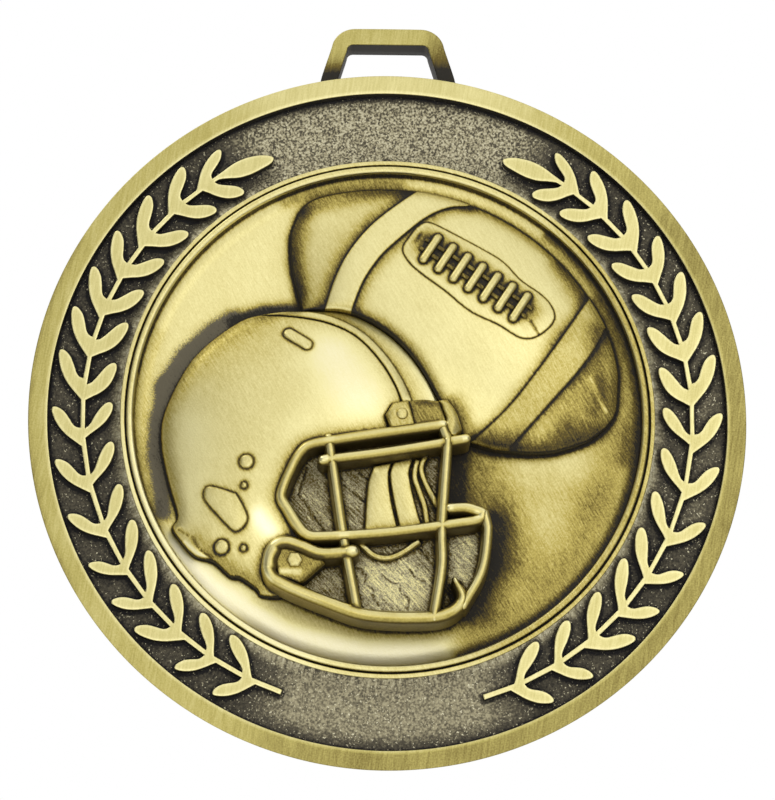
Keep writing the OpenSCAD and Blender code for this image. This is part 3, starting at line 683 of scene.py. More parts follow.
def tube(line, width, crown, foot, start=0.0, stains=(), spread=0.12, taper=0.0):
    """Round-topped wire along a line, with rounded ends and sides that run down to foot.
    Its last part narrows over the taper length."""
    line = spline(line, 0.12, closed=False, corner=math.radians(80))
    r = width / 2
    along = np.gradient(line, axis=0)
    along /= np.hypot(*along.T)[:, None]
    ends = np.linspace(90, 0, 7)[:-1] * math.pi / 180
    travel = np.append(0, np.cumsum(np.hypot(*np.diff(line, axis=0).T)))
    widths = 1 - 0.55 * np.clip(1 - (travel[-1] - travel) / taper, 0, 1) if taper else np.ones(len(line))
    lead = [(line[0] - along[0] * r * math.sin(a), along[0], math.cos(a), 1) for a in ends]
    trail = [(line[-1] + along[-1] * r * math.sin(a) * widths[-1], along[-1], math.cos(a), widths[-1])
             for a in ends[::-1]]
    rings = [*lead, *[(p, a, 1, w) for p, a, w in zip(line, along, widths)], *trail]
    angles = np.radians(np.linspace(-90, 90, 17))
    sideways = np.concatenate([[-r - spread], r * np.sin(angles), [r + spread]])
    rise = np.concatenate([[0], r * np.cos(angles), [0]])
    across = np.concatenate([[-1], np.sin(angles), [1]])
    points, flank_oxide_and_shade = [], []
    for centre, ahead, size, narrow in rings:
        size = max(size, 0.02)
        side = np.array([-ahead[1], ahead[0]])
        plan_points = centre + np.outer(-sideways * size * narrow, side)
        # Painted shade: the side of the wire towards the lower right, away from the light at the upper left,
        # is darker; both edges are darker with oxide.
        shade = -across * (side @ np.array([0.6, -0.8]))
        flank_oxide_and_shade.append(0.56 * np.clip(shade + 0.25, 0, 1) ** 1.3 + 0.8 * np.clip(np.abs(across) - 0.5, 0, 0.45))
        height = crown - r + rise * size
        height[[0, -1]] = foot
        points.append(np.column_stack([plan_points, height]))
    count = len(sideways)
    here = (np.arange(len(rings) - 1) * count)[:, None] + np.arange(count)
    ahead = here + count
    quads = np.stack([here, ahead, np.roll(ahead, -1, 1), np.roll(here, -1, 1)], -1).reshape(-1, 4)
    caps = [list(range(count))[::-1], [(len(rings) - 1) * count + i for i in range(count)]]
    points = np.concatenate(points)
    tone = tarnish(points, start, stains) + np.concatenate(flank_oxide_and_shade)
    return points, [*quads.tolist(), *caps], np.clip(tone, BURNISH_AND_HIGHLIGHT, 0.78)


def store(mesh, name, values):
    """Keeps a value per point on a mesh, for the shaders."""
    mesh.attributes.new(name, "FLOAT", "POINT").data.foreach_set("value", values)


def piece(name, bodies, material, slot, *nodes):
    """One mesh object of the bodies, riding on the medal in place of CAD nodes."""
    points, faces, tones, total = [], [], [], 0
    for body_points, body_faces, tone in bodies:
        points.append(body_points)
        tones.append(tone)
        body_faces = body_faces if isinstance(body_faces, list) else body_faces.tolist()
        faces += [[total + i for i in face] for face in body_faces]
        total += len(body_points)
    points = np.concatenate(points)
    mesh = bpy.data.meshes.new(name)
    mesh.from_pydata((np.column_stack([points[:, 0], -points[:, 2], points[:, 1]]) * MM).tolist(), [], faces)
    store(mesh, "tarnish", np.concatenate(tones))
    mesh.shade_smooth()
    mesh.set_sharp_from_angle(angle=math.radians(50))
    mesh.materials.append(material)
    mesh.update()
    thing = bpy.data.objects.new(name, mesh)
    bpy.context.scene.collection.objects.link(thing)
    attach(thing, "root")
    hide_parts(*nodes)
    return thing


# ---- materials ---------------------------------------------------------------


class Nodes:
    """Short ways to add shader nodes to a tree. A value may be a number or a socket."""

    def __init__(self, tree):
        self.tree = tree

    def feed(self, socket, value):
        """Links a socket to another one, or sets its value."""
        if isinstance(value, bpy.types.NodeSocket):
            self.tree.links.new(value, socket)
        else:
            socket.default_value = value

    def add(self, kind, *values, **settings):
        """New node with its settings, and with values on its first inputs."""
        node = self.tree.nodes.new("ShaderNode" + kind)
        for name, value in settings.items():
            setattr(node, name, value)
        for socket, value in zip(node.inputs, values):
            self.feed(socket, value)
        return node

    def calc(self, operation, a, b, clamp=False):
        return self.add("Math", a, b, operation=operation, use_clamp=clamp).outputs[0]

    def plus(self, a, b):
        return self.calc("ADD", a, b)

    def minus(self, a, b, clamp=False):
        return self.calc("SUBTRACT", a, b, clamp)

    def times(self, a, b):
        return self.calc("MULTIPLY", a, b)

    def ramp(self, value, low, high, to_low=0.0, to_high=1.0):
        """Value mapped from one range to another and kept inside it."""
        return self.add("MapRange", value, low, high, to_low, to_high).outputs["Result"]

    def mix(self, factor, a, b):
        """Two colours mixed."""
        node = self.add("Mix", factor, data_type="RGBA")
        for socket, value in zip([s for s in node.inputs if s.type == "RGBA"], (a, b)):
            self.feed(socket, value)
        return next(s for s in node.outputs if s.type == "RGBA")

    def noise(self, vector, scale, detail=2.0, roughness=0.5):
        node = self.add("TexNoise", vector)
        for label, value in (("Scale", scale), ("Detail", detail), ("Roughness", roughness)):
            self.feed(node.inputs[label], value)
        return node.outputs["Fac"]


class Group(Nodes):
    """A shared node group under construction, with named inputs and outputs."""

    def __init__(self, name, outputs, colours=(), place=True, **floats):
        super().__init__(bpy.data.node_groups.new(name, "ShaderNodeTree"))
        if place:
            self.socket("Vector", "Vector")
        for label in colours:
            self.socket(label, "Color")
        for label, value in floats.items():
            self.socket(label.replace("_", " "), "Float").default_value = value
        for label, kind in outputs.items():
            self.socket(label, kind, "OUTPUT")
        self.given = self.tree.nodes.new("NodeGroupInput").outputs
        self.result = self.tree.nodes.new("NodeGroupOutput").inputs

    def socket(self, label, kind, way="INPUT"):
        return self.tree.interface.new_socket(name=label, in_out=way, socket_type="NodeSocket" + kind)

    def give(self, **results):
        """Links the results to the outputs and returns the finished group."""
        for label, value in results.items():
            self.feed(self.result[label], value)
        return self.tree


TONES = ("Burnished", "Pale", "Toned", "Brown", "Oxide", "Slate")


def tarnish_tones(name):
    """Colour, metal share and gloss of antique gold from the share of oxide on it."""
    group = Group(name, {"Color": "Color", "Metal": "Float", "Roughness": "Float"}, TONES, False,
                  Tarnish=0.0, Grey=0.0, Polish=0.35)
    given, value = group.given, group.given["Tarnish"]
    # Below 0: the palest tone, for worn metal and for painted highlights.
    tone = group.mix(group.ramp(value, -0.35, 0.0), given["Burnished"], given["Pale"])
    tone = group.mix(group.ramp(value, 0.0, 0.38), tone, given["Toned"])
    tone = group.mix(group.ramp(value, 0.38, 0.66), tone, given["Brown"])
    tone = group.mix(given["Grey"], tone, given["Slate"])
    tone = group.mix(group.ramp(value, 0.66, 0.95), tone, given["Oxide"])
    dull = group.ramp(value, 0.2, 1.0, 0.0, 0.3)
    return group.give(Color=tone, Metal=group.ramp(value, 0.6, 1.0, 1.0, 0.45),
                      Roughness=group.plus(given["Polish"], dull))


def worn_tarnish(name):
    """Breaks up even tarnish with fine grain and soft clouds."""
    group = Group(name, {"Tarnish": "Float"}, Tarnish=0.0, Grain_Size=7.0, Grain=0.1,
                  Cloud_Size=0.35, Cloud=0.1)
    given = group.given
    grain = group.noise(given["Vector"], given["Grain Size"], 2.0, 0.6)
    cloud = group.noise(given["Vector"], given["Cloud Size"], 3.0, 0.55)
    grain = group.times(group.minus(grain, 0.5), given["Grain"])
    grain = group.times(grain, group.ramp(given["Tarnish"], 0.0, 0.5, 0.5, 1.7))
    cloud = group.times(group.minus(cloud, 0.5), given["Cloud"])
    return group.give(Tarnish=group.plus(group.plus(given["Tarnish"], grain), cloud))


def brush_marks(name):
    """Straight brush strokes: up and down the face, leaning by the angle."""
    group = Group(name, {"Marks": "Float"}, Across=6.0, Along=0.35, Angle=-0.16)
    given = group.given
    turn = group.add("VectorRotate", given["Vector"], rotation_type="Y_AXIS")
    group.feed(turn.inputs["Angle"], given["Angle"])
    scale = group.add("CombineXYZ", given["Across"], given["Along"], given["Along"])
    stretch = group.add("VectorMath", turn.outputs["Vector"], scale.outputs["Vector"], operation="MULTIPLY")
    return group.give(Marks=group.noise(stretch.outputs["Vector"], 1.0, 4.0, 0.65))


def stipple(name):
    """Fine blasted pits and bright grains, sharpened from noise."""
    group = Group(name, {"Grains": "Float"}, Size=5.0, Sharpness=0.12)
    given = group.given
    grains = group.noise(given["Vector"], given["Size"], 1.0, 0.5)
    low, high = group.minus(0.5, given["Sharpness"]), group.plus(0.5, given["Sharpness"])
    return group.give(Grains=group.ramp(grains, low, high))


def radial_streaks(name):
    """Soft streaks that run from the collar outwards."""
    group = Group(name, {"Streaks": "Float"}, Across=60.0, Along=0.8)
    given = group.given
    split = group.add("SeparateXYZ", given["Vector"]).outputs
    bearing = group.calc("ARCTAN2", split["X"], split["Z"])
    reach = group.add("VectorMath", given["Vector"], operation="LENGTH").outputs["Value"]
    place = group.add("CombineXYZ", group.times(bearing, given["Across"]), group.times(reach, given["Along"]))
    return group.give(Streaks=group.noise(place.outputs["Vector"], 1.0, 3.0, 0.6))


class Finish(Nodes):
    """A metal material under construction, with coordinates in millimetres and tarnish at hand."""

    def __init__(self, name):
        self.material = bpy.data.materials.new(name)
        self.material.use_nodes = True
        super().__init__(self.material.node_tree)
        self.tree.nodes.clear()
        self.shader = self.add("BsdfPrincipled")
        self.add("OutputMaterial", self.shader.outputs["BSDF"])
        scale = self.add("VectorMath", self.add("TexCoord").outputs["Object"], operation="SCALE")
        scale.inputs["Scale"].default_value = 1 / MM
        self.vector = scale.outputs["Vector"]
        self.tarnish = self.stored("tarnish")

    def stored(self, name):
        """Value kept on the mesh under a name."""
        return self.add("Attribute", attribute_name=name).outputs["Fac"]

    def use(self, build, **values):
        """Outputs of a shared node group, built at its first use, with values on its inputs."""
        name = build.__name__.replace("_", " ").capitalize()
        node = self.add("Group", node_tree=bpy.data.node_groups.get(name) or build(name))
        if "Vector" in node.inputs:
            self.feed(node.inputs["Vector"], self.vector)
        for label, value in values.items():
            self.feed(node.inputs[label.replace("_", " ")], value)
        return node.outputs

    def worn(self, grain_size, grain, cloud_size, cloud):
        """The stored tarnish, broken up by grain and clouds."""
        return self.use(worn_tarnish, Tarnish=self.tarnish, Grain_Size=grain_size, Grain=grain,
                        Cloud_Size=cloud_size, Cloud=cloud)["Tarnish"]

    def gild(self, tarnish_value, polish, names=("pale", "honey", "brown", "oxide"), grey=0.0):
        """Feeds the shader with the colours of antique gold, from rubbed metal to oxide,
        and greys them by a mask."""
        colours = bpy.context.scene.medal_colours
        names = ("burnished", *names, "slate")
        tints = {tone: (*getattr(colours, name), 1) for tone, name in zip(TONES, names)}
        tones = self.use(tarnish_tones, Tarnish=tarnish_value, Polish=polish, Grey=grey, **tints)
        for label, tone in (("Base Color", "Color"), ("Metallic", "Metal"), ("Roughness", "Roughness")):
            self.feed(self.shader.inputs[label], tones[tone])

    def bump(self, height, depth):
        """Fine relief from a height, its depth in mm."""
        node = self.add("Bump")
        for label, value in (("Strength", 1.0), ("Distance", depth * MM), ("Height", height)):
            self.feed(node.inputs[label], value)
        self.feed(self.shader.inputs["Normal"], node.outputs["Normal"])


@functools.cache
def brushed_gold():
    """Rim, loop and leaves: flat faces brushed in one direction."""
    finish = Finish("Brushed gold")
    marks = finish.use(brush_marks, Across=5.5, Along=0.4)["Marks"]
    streaks = finish.ramp(marks, 0.35, 0.65, -0.05, 0.05)
    finish.gild(finish.plus(finish.worn(6.0, 0.2, 0.22, 0.16), streaks), 0.36,
                ("pale", "toned", "brown", "oxide"))
    finish.bump(marks, 0.006)
    return finish.material


@functools.cache
def satin_gold():
    """Dish, ball and helmet: rubbed satin gold with toning in the hollows, and the painted shade and
    highlights that the pieces store with it.
    """
    finish = Finish("Satin gold")
    marks = finish.use(brush_marks, Across=7.0, Along=0.9, Angle=0.5)["Marks"]
    depth = finish.ramp(finish.tarnish, 0.0, 0.5, 0.03, 0.11)
    scratches = finish.times(finish.ramp(marks, 0.35, 0.65, -1.0, 1.0), depth)
    grains = finish.use(stipple, Size=7.0, Sharpness=0.25)["Grains"]
    spared = finish.times(finish.minus(1.0, grains), 0.5)
    greyed = finish.ramp(finish.minus(finish.stored("grey"), spared), 0.0, 0.5)
    finish.gild(finish.plus(finish.worn(5.5, 0.3, 0.2, 0.14), scratches), 0.38, grey=greyed)
    finish.bump(grains, 0.006)
    return finish.material


@functools.cache
def guard_gold():
    """Face guard: smoother wire with oxide down its flanks and painted shade on the side towards the lower
    right.
    """
    finish = Finish("Guard gold")
    finish.gild(finish.worn(5.0, 0.16, 0.4, 0.12), 0.3)
    finish.bump(finish.use(stipple, Size=6.0, Sharpness=0.3)["Grains"], 0.004)
    return finish.material


@functools.cache
def dark_patina():
    """Wreath field: blasted ground full of oxide, with bare grains where it is open."""
    finish = Finish("Dark patina")
    coarse = finish.use(stipple, Size=4.8, Sharpness=0.16)["Grains"]
    pits = finish.times(finish.minus(0.5, coarse), finish.stored("grit"))
    streaks = finish.use(radial_streaks, Across=75.0, Along=0.7)["Streaks"]
    streaks = finish.times(finish.ramp(streaks, 0.38, 0.62, -0.5, 0.5), finish.stored("sweep"))
    bare = finish.ramp(finish.noise(finish.vector, 5.5, 1.0), 0.67, 0.73, 0.0, 0.6)
    total = finish.plus(finish.plus(finish.worn(5.0, 0.12, 0.3, 0.1), pits), streaks)
    finish.gild(finish.minus(total, bare, clamp=True), 0.45, ("bone", "ash", "slate", "soot"))
    finish.bump(coarse, 0.02)
    return finish.material


@functools.cache
def cut_lining():
    """Inside of the helmet: slanting tool marks over oxide."""
    finish = Finish("Cut lining")
    cuts = finish.use(brush_marks, Across=6.5, Along=0.8, Angle=0.75)["Marks"]
    cuts = finish.ramp(cuts, 0.36, 0.64, -0.5, 0.5)
    grains = finish.use(stipple, Size=6.5, Sharpness=0.14)["Grains"]
    marks = finish.plus(cuts, finish.times(finish.minus(grains, 0.5), 0.6))
    worn = finish.worn(5.0, 0.3, 0.5, 0.2)
    finish.gild(finish.minus(worn, finish.times(marks, 0.42), clamp=True), 0.36,
                ("pale", "ash", "brown", "oxide"))
    finish.bump(marks, 0.03)
    return finish.material


def cast(node, bodies, build=satin_gold, slot=None):
    """The piece that stands for one CAD node."""
    return piece(node + "_cast", bodies, build(), slot or build.__name__, node)


# ---- pieces ------------------------------------------------------------------


class MedalStep(bpy.types.Operator):
    """Common base of the medal's operators."""
    bl_options = {"REGISTER", "UNDO"}

    def execute(self, context):
        self.build(context)
        return {"FINISHED"}


class MEDAL_OT_stage(MedalStep):
    """Set the camera, the soft light and the pale floor"""
    bl_idname = "medal.stage"
    bl_label = "Stage"

    def build(self, context):
        studio = context.scene.medal_studio
        camera = bpy.data.objects.new("camera", bpy.data.cameras.new("camera"))
        camera.data.lens = studio.lens
        camera.data.sensor_width = 36
        camera.data.clip_start = 0.01
        camera.data.shift_y = 0.0298
        camera.data.shift_x = 0.0005
        away = Vector((-math.sin(studio.aside) * math.cos(studio.below),
                       -math.cos(studio.aside) * math.cos(studio.below), -math.sin(studio.below)))
        camera.location = away * studio.distance
        camera.rotation_euler = (-away).to_track_quat("-Z", "Y").to_euler()
        context.scene.collection.objects.link(camera)
        context.scene.camera = camera
        context.scene.view_settings.view_transform = "Standard"
        self.light(context, "key light", (-0.30, -0.26, 0.44), 0.16, 0.3)
        self.light(context, "front fill", (0.21, -0.50, 0.11), 0.30, 0.17)
        self.light(context, "low fill", (-0.05, -0.47, -0.16), 0.20, 0.25)
        self.card(context, "left card", (-0.46, -0.30, 0.10), (0.56, 0.8), 0.25)
        self.card(context, "right card", (0.55, -0.20, 0.05), (0.5, 0.8), 0.3)
        self.floor(context, mm(studio.floor_drop))
        self.sky(context)

    def light(self, context, name, place, size, power):
        lamp = bpy.data.lights.new(name, "AREA")
        lamp.shape = "DISK"
        lamp.size = size
        lamp.energy = power
        thing = bpy.data.objects.new(name, lamp)
        thing.location = place
        thing.rotation_euler = (-Vector(place)).to_track_quat("-Z", "Y").to_euler()
        context.scene.collection.objects.link(thing)

    def sheet(self, context, name, size, level, surface, grey, roughness):
        """Matte rectangle at a level."""
        wide, tall = size[0] / 2, size[1] / 2
        corners = [(-wide, -tall, level), (wide, -tall, level), (wide, tall, level), (-wide, tall, level)]
        mesh = bpy.data.meshes.new(name)
        mesh.from_pydata(corners, [], [(0, 1, 2, 3)])
        material = bpy.data.materials.new(surface)
        material.use_nodes = True
        shader = material.node_tree.nodes["Principled BSDF"]
        shader.inputs["Base Color"].default_value = (grey, grey, grey, 1)
        shader.inputs["Roughness"].default_value = roughness
        mesh.materials.append(material)
        thing = bpy.data.objects.new(name, mesh)
        context.scene.collection.objects.link(thing)
        return thing

    def card(self, context, name, place, size, grey):
        """Dull card beside the camera that darkens one side of the metal."""
        thing = self.sheet(context, name, size, 0, name, grey, 1.0)
        thing.location = place
        thing.rotation_euler = (-Vector(place)).to_track_quat("Z", "Y").to_euler()
        thing.visible_camera = False
        thing.visible_diffuse = False
        thing.visible_shadow = False

    def floor(self, context, drop):
        thing = self.sheet(context, "floor", (6.0, 6.0), -drop * MM, "Pale floor", 0.86, 0.9)

    def sky(self, context):
        """Plain white room, which the background, the metal and the floor all see."""
        world = bpy.data.worlds.new("Studio")
        context.scene.world = world
        world.use_nodes = True
        room = world.node_tree.nodes["Background"]
        room.inputs["Color"].default_value = (1, 1, 1, 1)
        room.inputs["Strength"].default_value = 1.0


class MEDAL_OT_disc(MedalStep):
    """Turn the backing plate and the flat brushed rim"""
    bl_idname = "medal.disc"
    bl_label = "Disc and rim"

    def build(self, context):
        face = medal()
        crisp = mm(context.scene.medal_casting.crisp_edge)
        plate, top = front("base_disc"), front("outer_rim")
        plate_r = radii("base_disc")[0]
        back_r = plate_r - (face.disc_r - plate_r) / (top - plate) * plate
        back = [(0.02, plate), (0.02, 0), *[(r, 0) for r in np.linspace(1.5, back_r - 1, 24)],
                (back_r, 0), (plate_r, plate)]
        sizes = [0] * (len(back) - 2) + [0.2, 0]
        cast("base_disc", [lathe(eased(back, sizes), 0.3)], brushed_gold)
        flat = [(r, top) for r in np.linspace(face.disc_r - 0.4, face.field_r + 0.4, 5)]
        rim = [(face.field_r, plate), (plate_r, plate), (face.disc_r, top), *flat, (face.field_r, top)]
        sizes = [0, 0, crisp * 1.6, *[0] * len(flat), crisp * 1.6]
        # Lighter across the top, a dark line along the left edge and darker towards the right.
        tone_shifts = [([(-9, 33.8), (0, 35), (9, 33.8)], 7, -0.18), (arc(face.disc_r, 240, 300), 0.5, 0.1),
                (arc(33.6, 60, 190), 8, 0.14)]
        points, faces, tone = lathe(eased(rim, sizes), 0.36, tone_shifts)
        # The inner wall of the rim is painted dark: oxide with painted shade.
        inner = np.hypot(points[:, 0], points[:, 1]) < face.field_r + crisp * 1.2
        body = points, faces, np.maximum(tone, inner * walls_of(points, top, crisp * 1.6))
        cast("outer_rim", [body], brushed_gold)


class MEDAL_OT_loop(MedalStep):
    """Cast the ribbon loop with its dark slot and legs"""
    bl_idname = "medal.loop"
    bl_label = "Ribbon loop"

    def build(self, context):
        crisp = mm(context.scene.medal_casting.crisp_edge)
        loops = [spline(loop, 0.14) for loop in plan("ribbon_loop")]
        for loop in loops:
            radius = np.hypot(*loop.T)
            loop *= np.where(radius < medal().disc_r + 0.1, (medal().disc_r - 0.8) / radius, 1)[:, None]
        roots = [([(side * 8.6, 34.4), (side * 4.4, 34.9)], 1.5, 0.75) for side in (-1, 1)]
        roots += [([(6.6, 38.6), (5.6, 36)], 2.2, 0.32), ([(-6.6, 38.2), (-5.8, 36)], 1.8, 0.05)]
        top = front("ribbon_loop")
        points, faces, tone = relief(loops, top, 0.0, crisp * 1.6, 0.36, roots, back_edge=0.1, roll=0.0)
        slot = [(-5, 35), (-4.15, 38.2), (-3.6, 38.7), (3.6, 38.7), (4.15, 38.2), (5, 35)]
        # The walls of the slot are painted dark: oxide with painted shade.
        wall = near_line(points[:, :2], slot, 0.3) * walls_of(points, top, crisp * 1.6)
        body = points, faces, np.maximum(tone, wall)
        cast("ribbon_loop", [body], brushed_gold)


class MEDAL_OT_field(MedalStep):
    """Blast the dark field of the wreath band"""
    bl_idname = "medal.field"
    bl_label = "Wreath field"

    def build(self, context):
        face = medal()
        loops = [circle(face.field_r, 0.2), circle(face.lip_r, 0.2, clockwise=True)]
        rings = [("laurel_right", 0.22, 0.5), ("laurel_left", 0.22, 0.5)]
        points, faces, tone = relief(loops, face.field_height, front("base_disc"), 0.02, 0.72, rings=rings,
                                     gather=0.4, roll=0.0)
        radius = np.hypot(points[:, 0], points[:, 1])
        bearing = np.degrees(np.arctan2(np.abs(points[:, 0]), points[:, 1]))
        open_top = np.clip((31 - bearing) / 7, 0, 1) * np.clip((face.field_r - 0.3 - radius) / 0.5, 0, 1)
        open_foot = np.clip((bearing - 154) / 8, 0, 1) * np.clip((face.field_r - 0.3 - radius) / 1.6, 0, 1)
        swept = np.clip((face.lip_r + 1.2 - radius) / 1.05, 0, 1)
        tone = tone - 0.12 * near_line(points[:, :2], arc(31, 60, 110), 3)
        closed = 1 - np.maximum(open_top, open_foot)
        tone = tone - 0.28 * open_top - 0.24 * open_foot - 0.42 * swept * closed
        thing = cast("wreath_field", [(points, faces, tone)], dark_patina)
        store(thing.data, "grit", 0.16 + 0.4 * open_top + 0.1 * open_foot)
        store(thing.data, "sweep", 0.06 + 0.3 * swept)


class MEDAL_OT_laurels(MedalStep):
    """Cut the two laurel branches with flat brushed leaves"""
    bl_idname = "medal.laurels"
    bl_label = "Laurel branches"

    def build(self, context):
        face = medal()
        crisp = mm(context.scene.medal_casting.crisp_edge)
        for node in ("laurel_right", "laurel_left"):
            top = front(node)
            points, faces, tone = relief(face.outlines[node], top, top - 1.0, crisp, 0.2, roll=0.0)
            # The leaves' walls are painted dark: oxide with painted shade.
            body = points, faces, np.maximum(tone, walls_of(points, top, crisp))
            cast(node, [body], brushed_gold)


class MEDAL_OT_collar(MedalStep):
    """Turn the lip and the bead round the dish"""
    bl_idname = "medal.collar"
    bl_label = "Collar"

    def build(self, context):
        face = medal()
        plate = front("base_disc")
        lip, bead = front("band_lip"), front("dish_bead")
        ring = [(face.groove_r, plate), (face.lip_r, plate), (face.lip_r, lip), (face.groove_r, lip)]
        # Painted highlight on the lower left of the lip and the bead, and painted shade on their right; oxide
        # in the groove.
        right, left = arc(face.lip_r, 50, 150), arc(face.lip_r, 200, 260)
        tone_shifts = [(right, 4, 0.16), (left, 3, -0.15), (arc(face.groove_r, 0, 360), 0.07, 0.6)]
        cast("band_lip", [lathe(eased(ring, [0, 0, 0.1, 0.1]), 0.2, tone_shifts)])
        groove = lip - GROOVE_DEPTH
        ring = [(face.dish_r, plate), (face.groove_r, plate), (face.groove_r, groove),
                (face.bead_r, groove), (face.bead_r, bead), (face.dish_r, bead)]
        tone_shifts = [(right, 4, 0.22), (left, 3, -0.2), (arc(face.groove_r - 0.08, 0, 360), 0.09, 0.8)]
        cast("dish_bead", [lathe(eased(ring, [0, 0, 0, 0, 0.26, 0.3]), 0.2, tone_shifts)])


class MEDAL_OT_dish(MedalStep):
    """Sink the dished floor with its cove, its grey oxide, and painted shade and highlights"""
    bl_idname = "medal.dish"
    bl_label = "Dish"

    def build(self, context):
        face = medal()
        band = [(-15.2, 9.9), (-17, 8.8), (-19.9, 6.1), (-21.7, 3)]
        tail = [(-21.7, 3), (-22.6, -0.5), (-22.7, -4), (-22, -7.6), (-21.8, -9.6)]
        thin = [(-9.5, 11.1), (-12.5, 10.9), (-15.2, 9.9)]
        stains = [
            ([(-22.6, 8), (-24, 3.5), (-24.3, -1), (-23.9, -6), (-22.6, -10)], 1.0, 0.16),
            # Painted shadow of the face guard, to its right and below its front wire.
            ([(9.5, -5), (11, -9), (12, -14)], 2.5, 0.3),
            ([(6.6, -3.8), (6.9, -9.4)], 1.3, 0.55),
            ([(6.8, -3.8), (7.6, -9.4)], 2.8, 0.25),
            ([(10.5, -10.5), (10.4, -15), (8.8, -19)], 1.5, 0.5),
            ([(11.8, -12), (12.2, -16), (10.5, -19.5)], 1.6, 0.1),
            # Painted shade on the right of the dish, which faces away from the light.
            ([(15.5, -7), (19, -8)], 2.4, 0.16),
            # Painted shade under the jaw wire.
            ([(-13, -18.3), (-8, -20.6), (-3, -21.6), (4, -21.8), (8, -20.5)], 0.4, 0.12),
            # Painted highlight on the lower left of the dish and its cove.
            ([(-20.3, -13), (-17, -16.6), (-10, -21.6), (-2, -23.4), (5, -23.2)], 1.3, -0.35),
            (arc(24.6, 172, 240), 0.7, -0.2),
            # Painted shade on the cove at the right and the top, and on the right of the dish.
            (arc(23.6, 60, 100), 0.8, 0.3),
            (arc(24.2, -25, 5), 0.6, 0.3),
            ([(8.5, -21.8), (13.8, -19), (18.7, -13.2), (21.4, -7), (22.2, -2)], 2.6, 0.34),
            ([(12, -8), (15, -12)], 3.0, 0.12),
            (thin, 0.8, 0.5),
            # Painted shade on the cove's right half, and a dark line at the foot of the bead round the top
            # and the right.
            (arc(24.5, 40, 165), 0.42, 0.5),
            (arc(face.dish_r, -80, 165), 0.16, 0.6),
        ]
        # Oxide round the figures; the wide ring round the front wire is also painted shadow of the guard.
        rings = [("football_body", 0.16, 0.8), ("football_body", 0.5, 0.4), ("helmet_shell", 0.15, 0.8),
                 ("guard_jaw_wire", 0.2, 0.3), ("guard_front_wire", 0.7, 0.5)]
        loops = [circle(face.dish_r, 0.2)]
        points, faces, tone = relief(loops, face.dish_height, front("base_disc"), 0.02, 0.08, stains, rings,
                                     gather=0.35, roll=0.0)
        grey = 1.35 * near_line(points[:, :2], band, 1.0) + 1.1 * near_line(points[:, :2], tail, 0.85)
        grey = np.maximum(np.minimum(grey, 1.35), near_line(points[:, :2], thin, 0.5))
        tone = np.clip(tone + 0.45 * np.clip(grey, 0, 1), BURNISH_AND_HIGHLIGHT, BLACK)
        thing = cast("centre_dish", [(points, faces, tone)])
        store(thing.data, "grey", grey)


def figure(node, edge, start, base=FIGURE_BASE, **more):
    """Relief of a figure node down to the dish's sagging floor."""
    face = medal()
    return relief(face.outlines[node], face.faces[node], base, edge, start, **more)


class MEDAL_OT_football(MedalStep):
    """Model the football with its stripes, panel and laces"""
    bl_idname = "medal.football"
    bl_label = "Football"

    def build(self, context):
        edge = mm(context.scene.medal_casting.edge)
        stains = [
            # Painted shade on the ball's right end, which faces away from the light.
            ([(20.5, 8.5), (21.3, 3), (20, -1), (15, -2.8), (10, -2.6)], 1.1, 0.35),
            ([(18, 7), (19.4, 2.4), (17.4, -0.6)], 2.4, 0.4),
            ([(17, 15.4), (20.5, 9.5)], 1.2, 0.4),
            ([(-8.6, 12.5), (-9, 16.5), (-8.4, 20.3)], 1.0, 0.4),
            ([(-7.8, 21), (0, 22.9), (8, 21.8)], 0.8, 0.35),
            ([(6.8, 1), (8.5, -2.6)], 0.9, 0.25),
            ([(-6.2, 12), (-4.6, 17), (-1, 20.5)], 2.4, 0.14),
            # Painted highlight along the ridge at the right end, and painted shade on the facet beside it.
            ([(19.7, 3.7), (21.3, 0.6)], 0.13, -0.5),
            ([(20.6, 3.6), (21.6, 0.9)], 0.5, 0.15),
        ]
        rings = [("football_stripe_left", 0.2, 0.6), ("football_stripe_left", 0.9, 0.45),
                 ("football_stripe_right", 0.2, 0.6), ("football_stripe_right", 0.8, 0.3),
                 ("lace_panel", 0.1, 0.8), ("helmet_far_side", 0.2, 0.5), ("front_bumper", 0.8, 0.3),
                 ("football_body", 0.12, 0.8), ("football_body", 0.75, 0.35)]
        body = figure("football_body", edge, 0.06, stains=stains, rings=rings, gather=0.3)
        cast("football_body", [body])
        # The right stripe starts darker, painted shade as on the ball's right end; both stripes take the
        # first line of it.
        for node, tone in (("football_stripe_left", 0.05), ("football_stripe_right", 0.3)):
            rings = [(node, 0.12, 0.45)]
            cast(node, [figure(node, edge * 0.7, tone, base=2.6, stains=stains[:1], rings=rings, gather=0.5)])
        row = [([(3.9, 17.2), (13.4, 10.7)], 1.4, 0.8), ([(3.3, 18.3), (2.4, 17.3)], 0.12, 0.6),
               ([(13.9, 9.4), (14.8, 7.8)], 0.12, 0.6)]
        rings = [("lace_panel", 0.11, 0.75), ("cross_laces", 0.25, 0.5)]
        cast("lace_panel", [figure("lace_panel", 0.05, 0.04, stains=row, rings=rings, gather=0.5, base=3.4)])
        cast("lace_cords", [figure("lace_cords", 0.12, 0.7, gather=0.5, base=3.4)])
        rings = [("cross_laces", 0.08, 0.5)]
        cast("cross_laces", [figure("cross_laces", 0.32, 0.1, rings=rings, gather=0.3, base=3.4)])


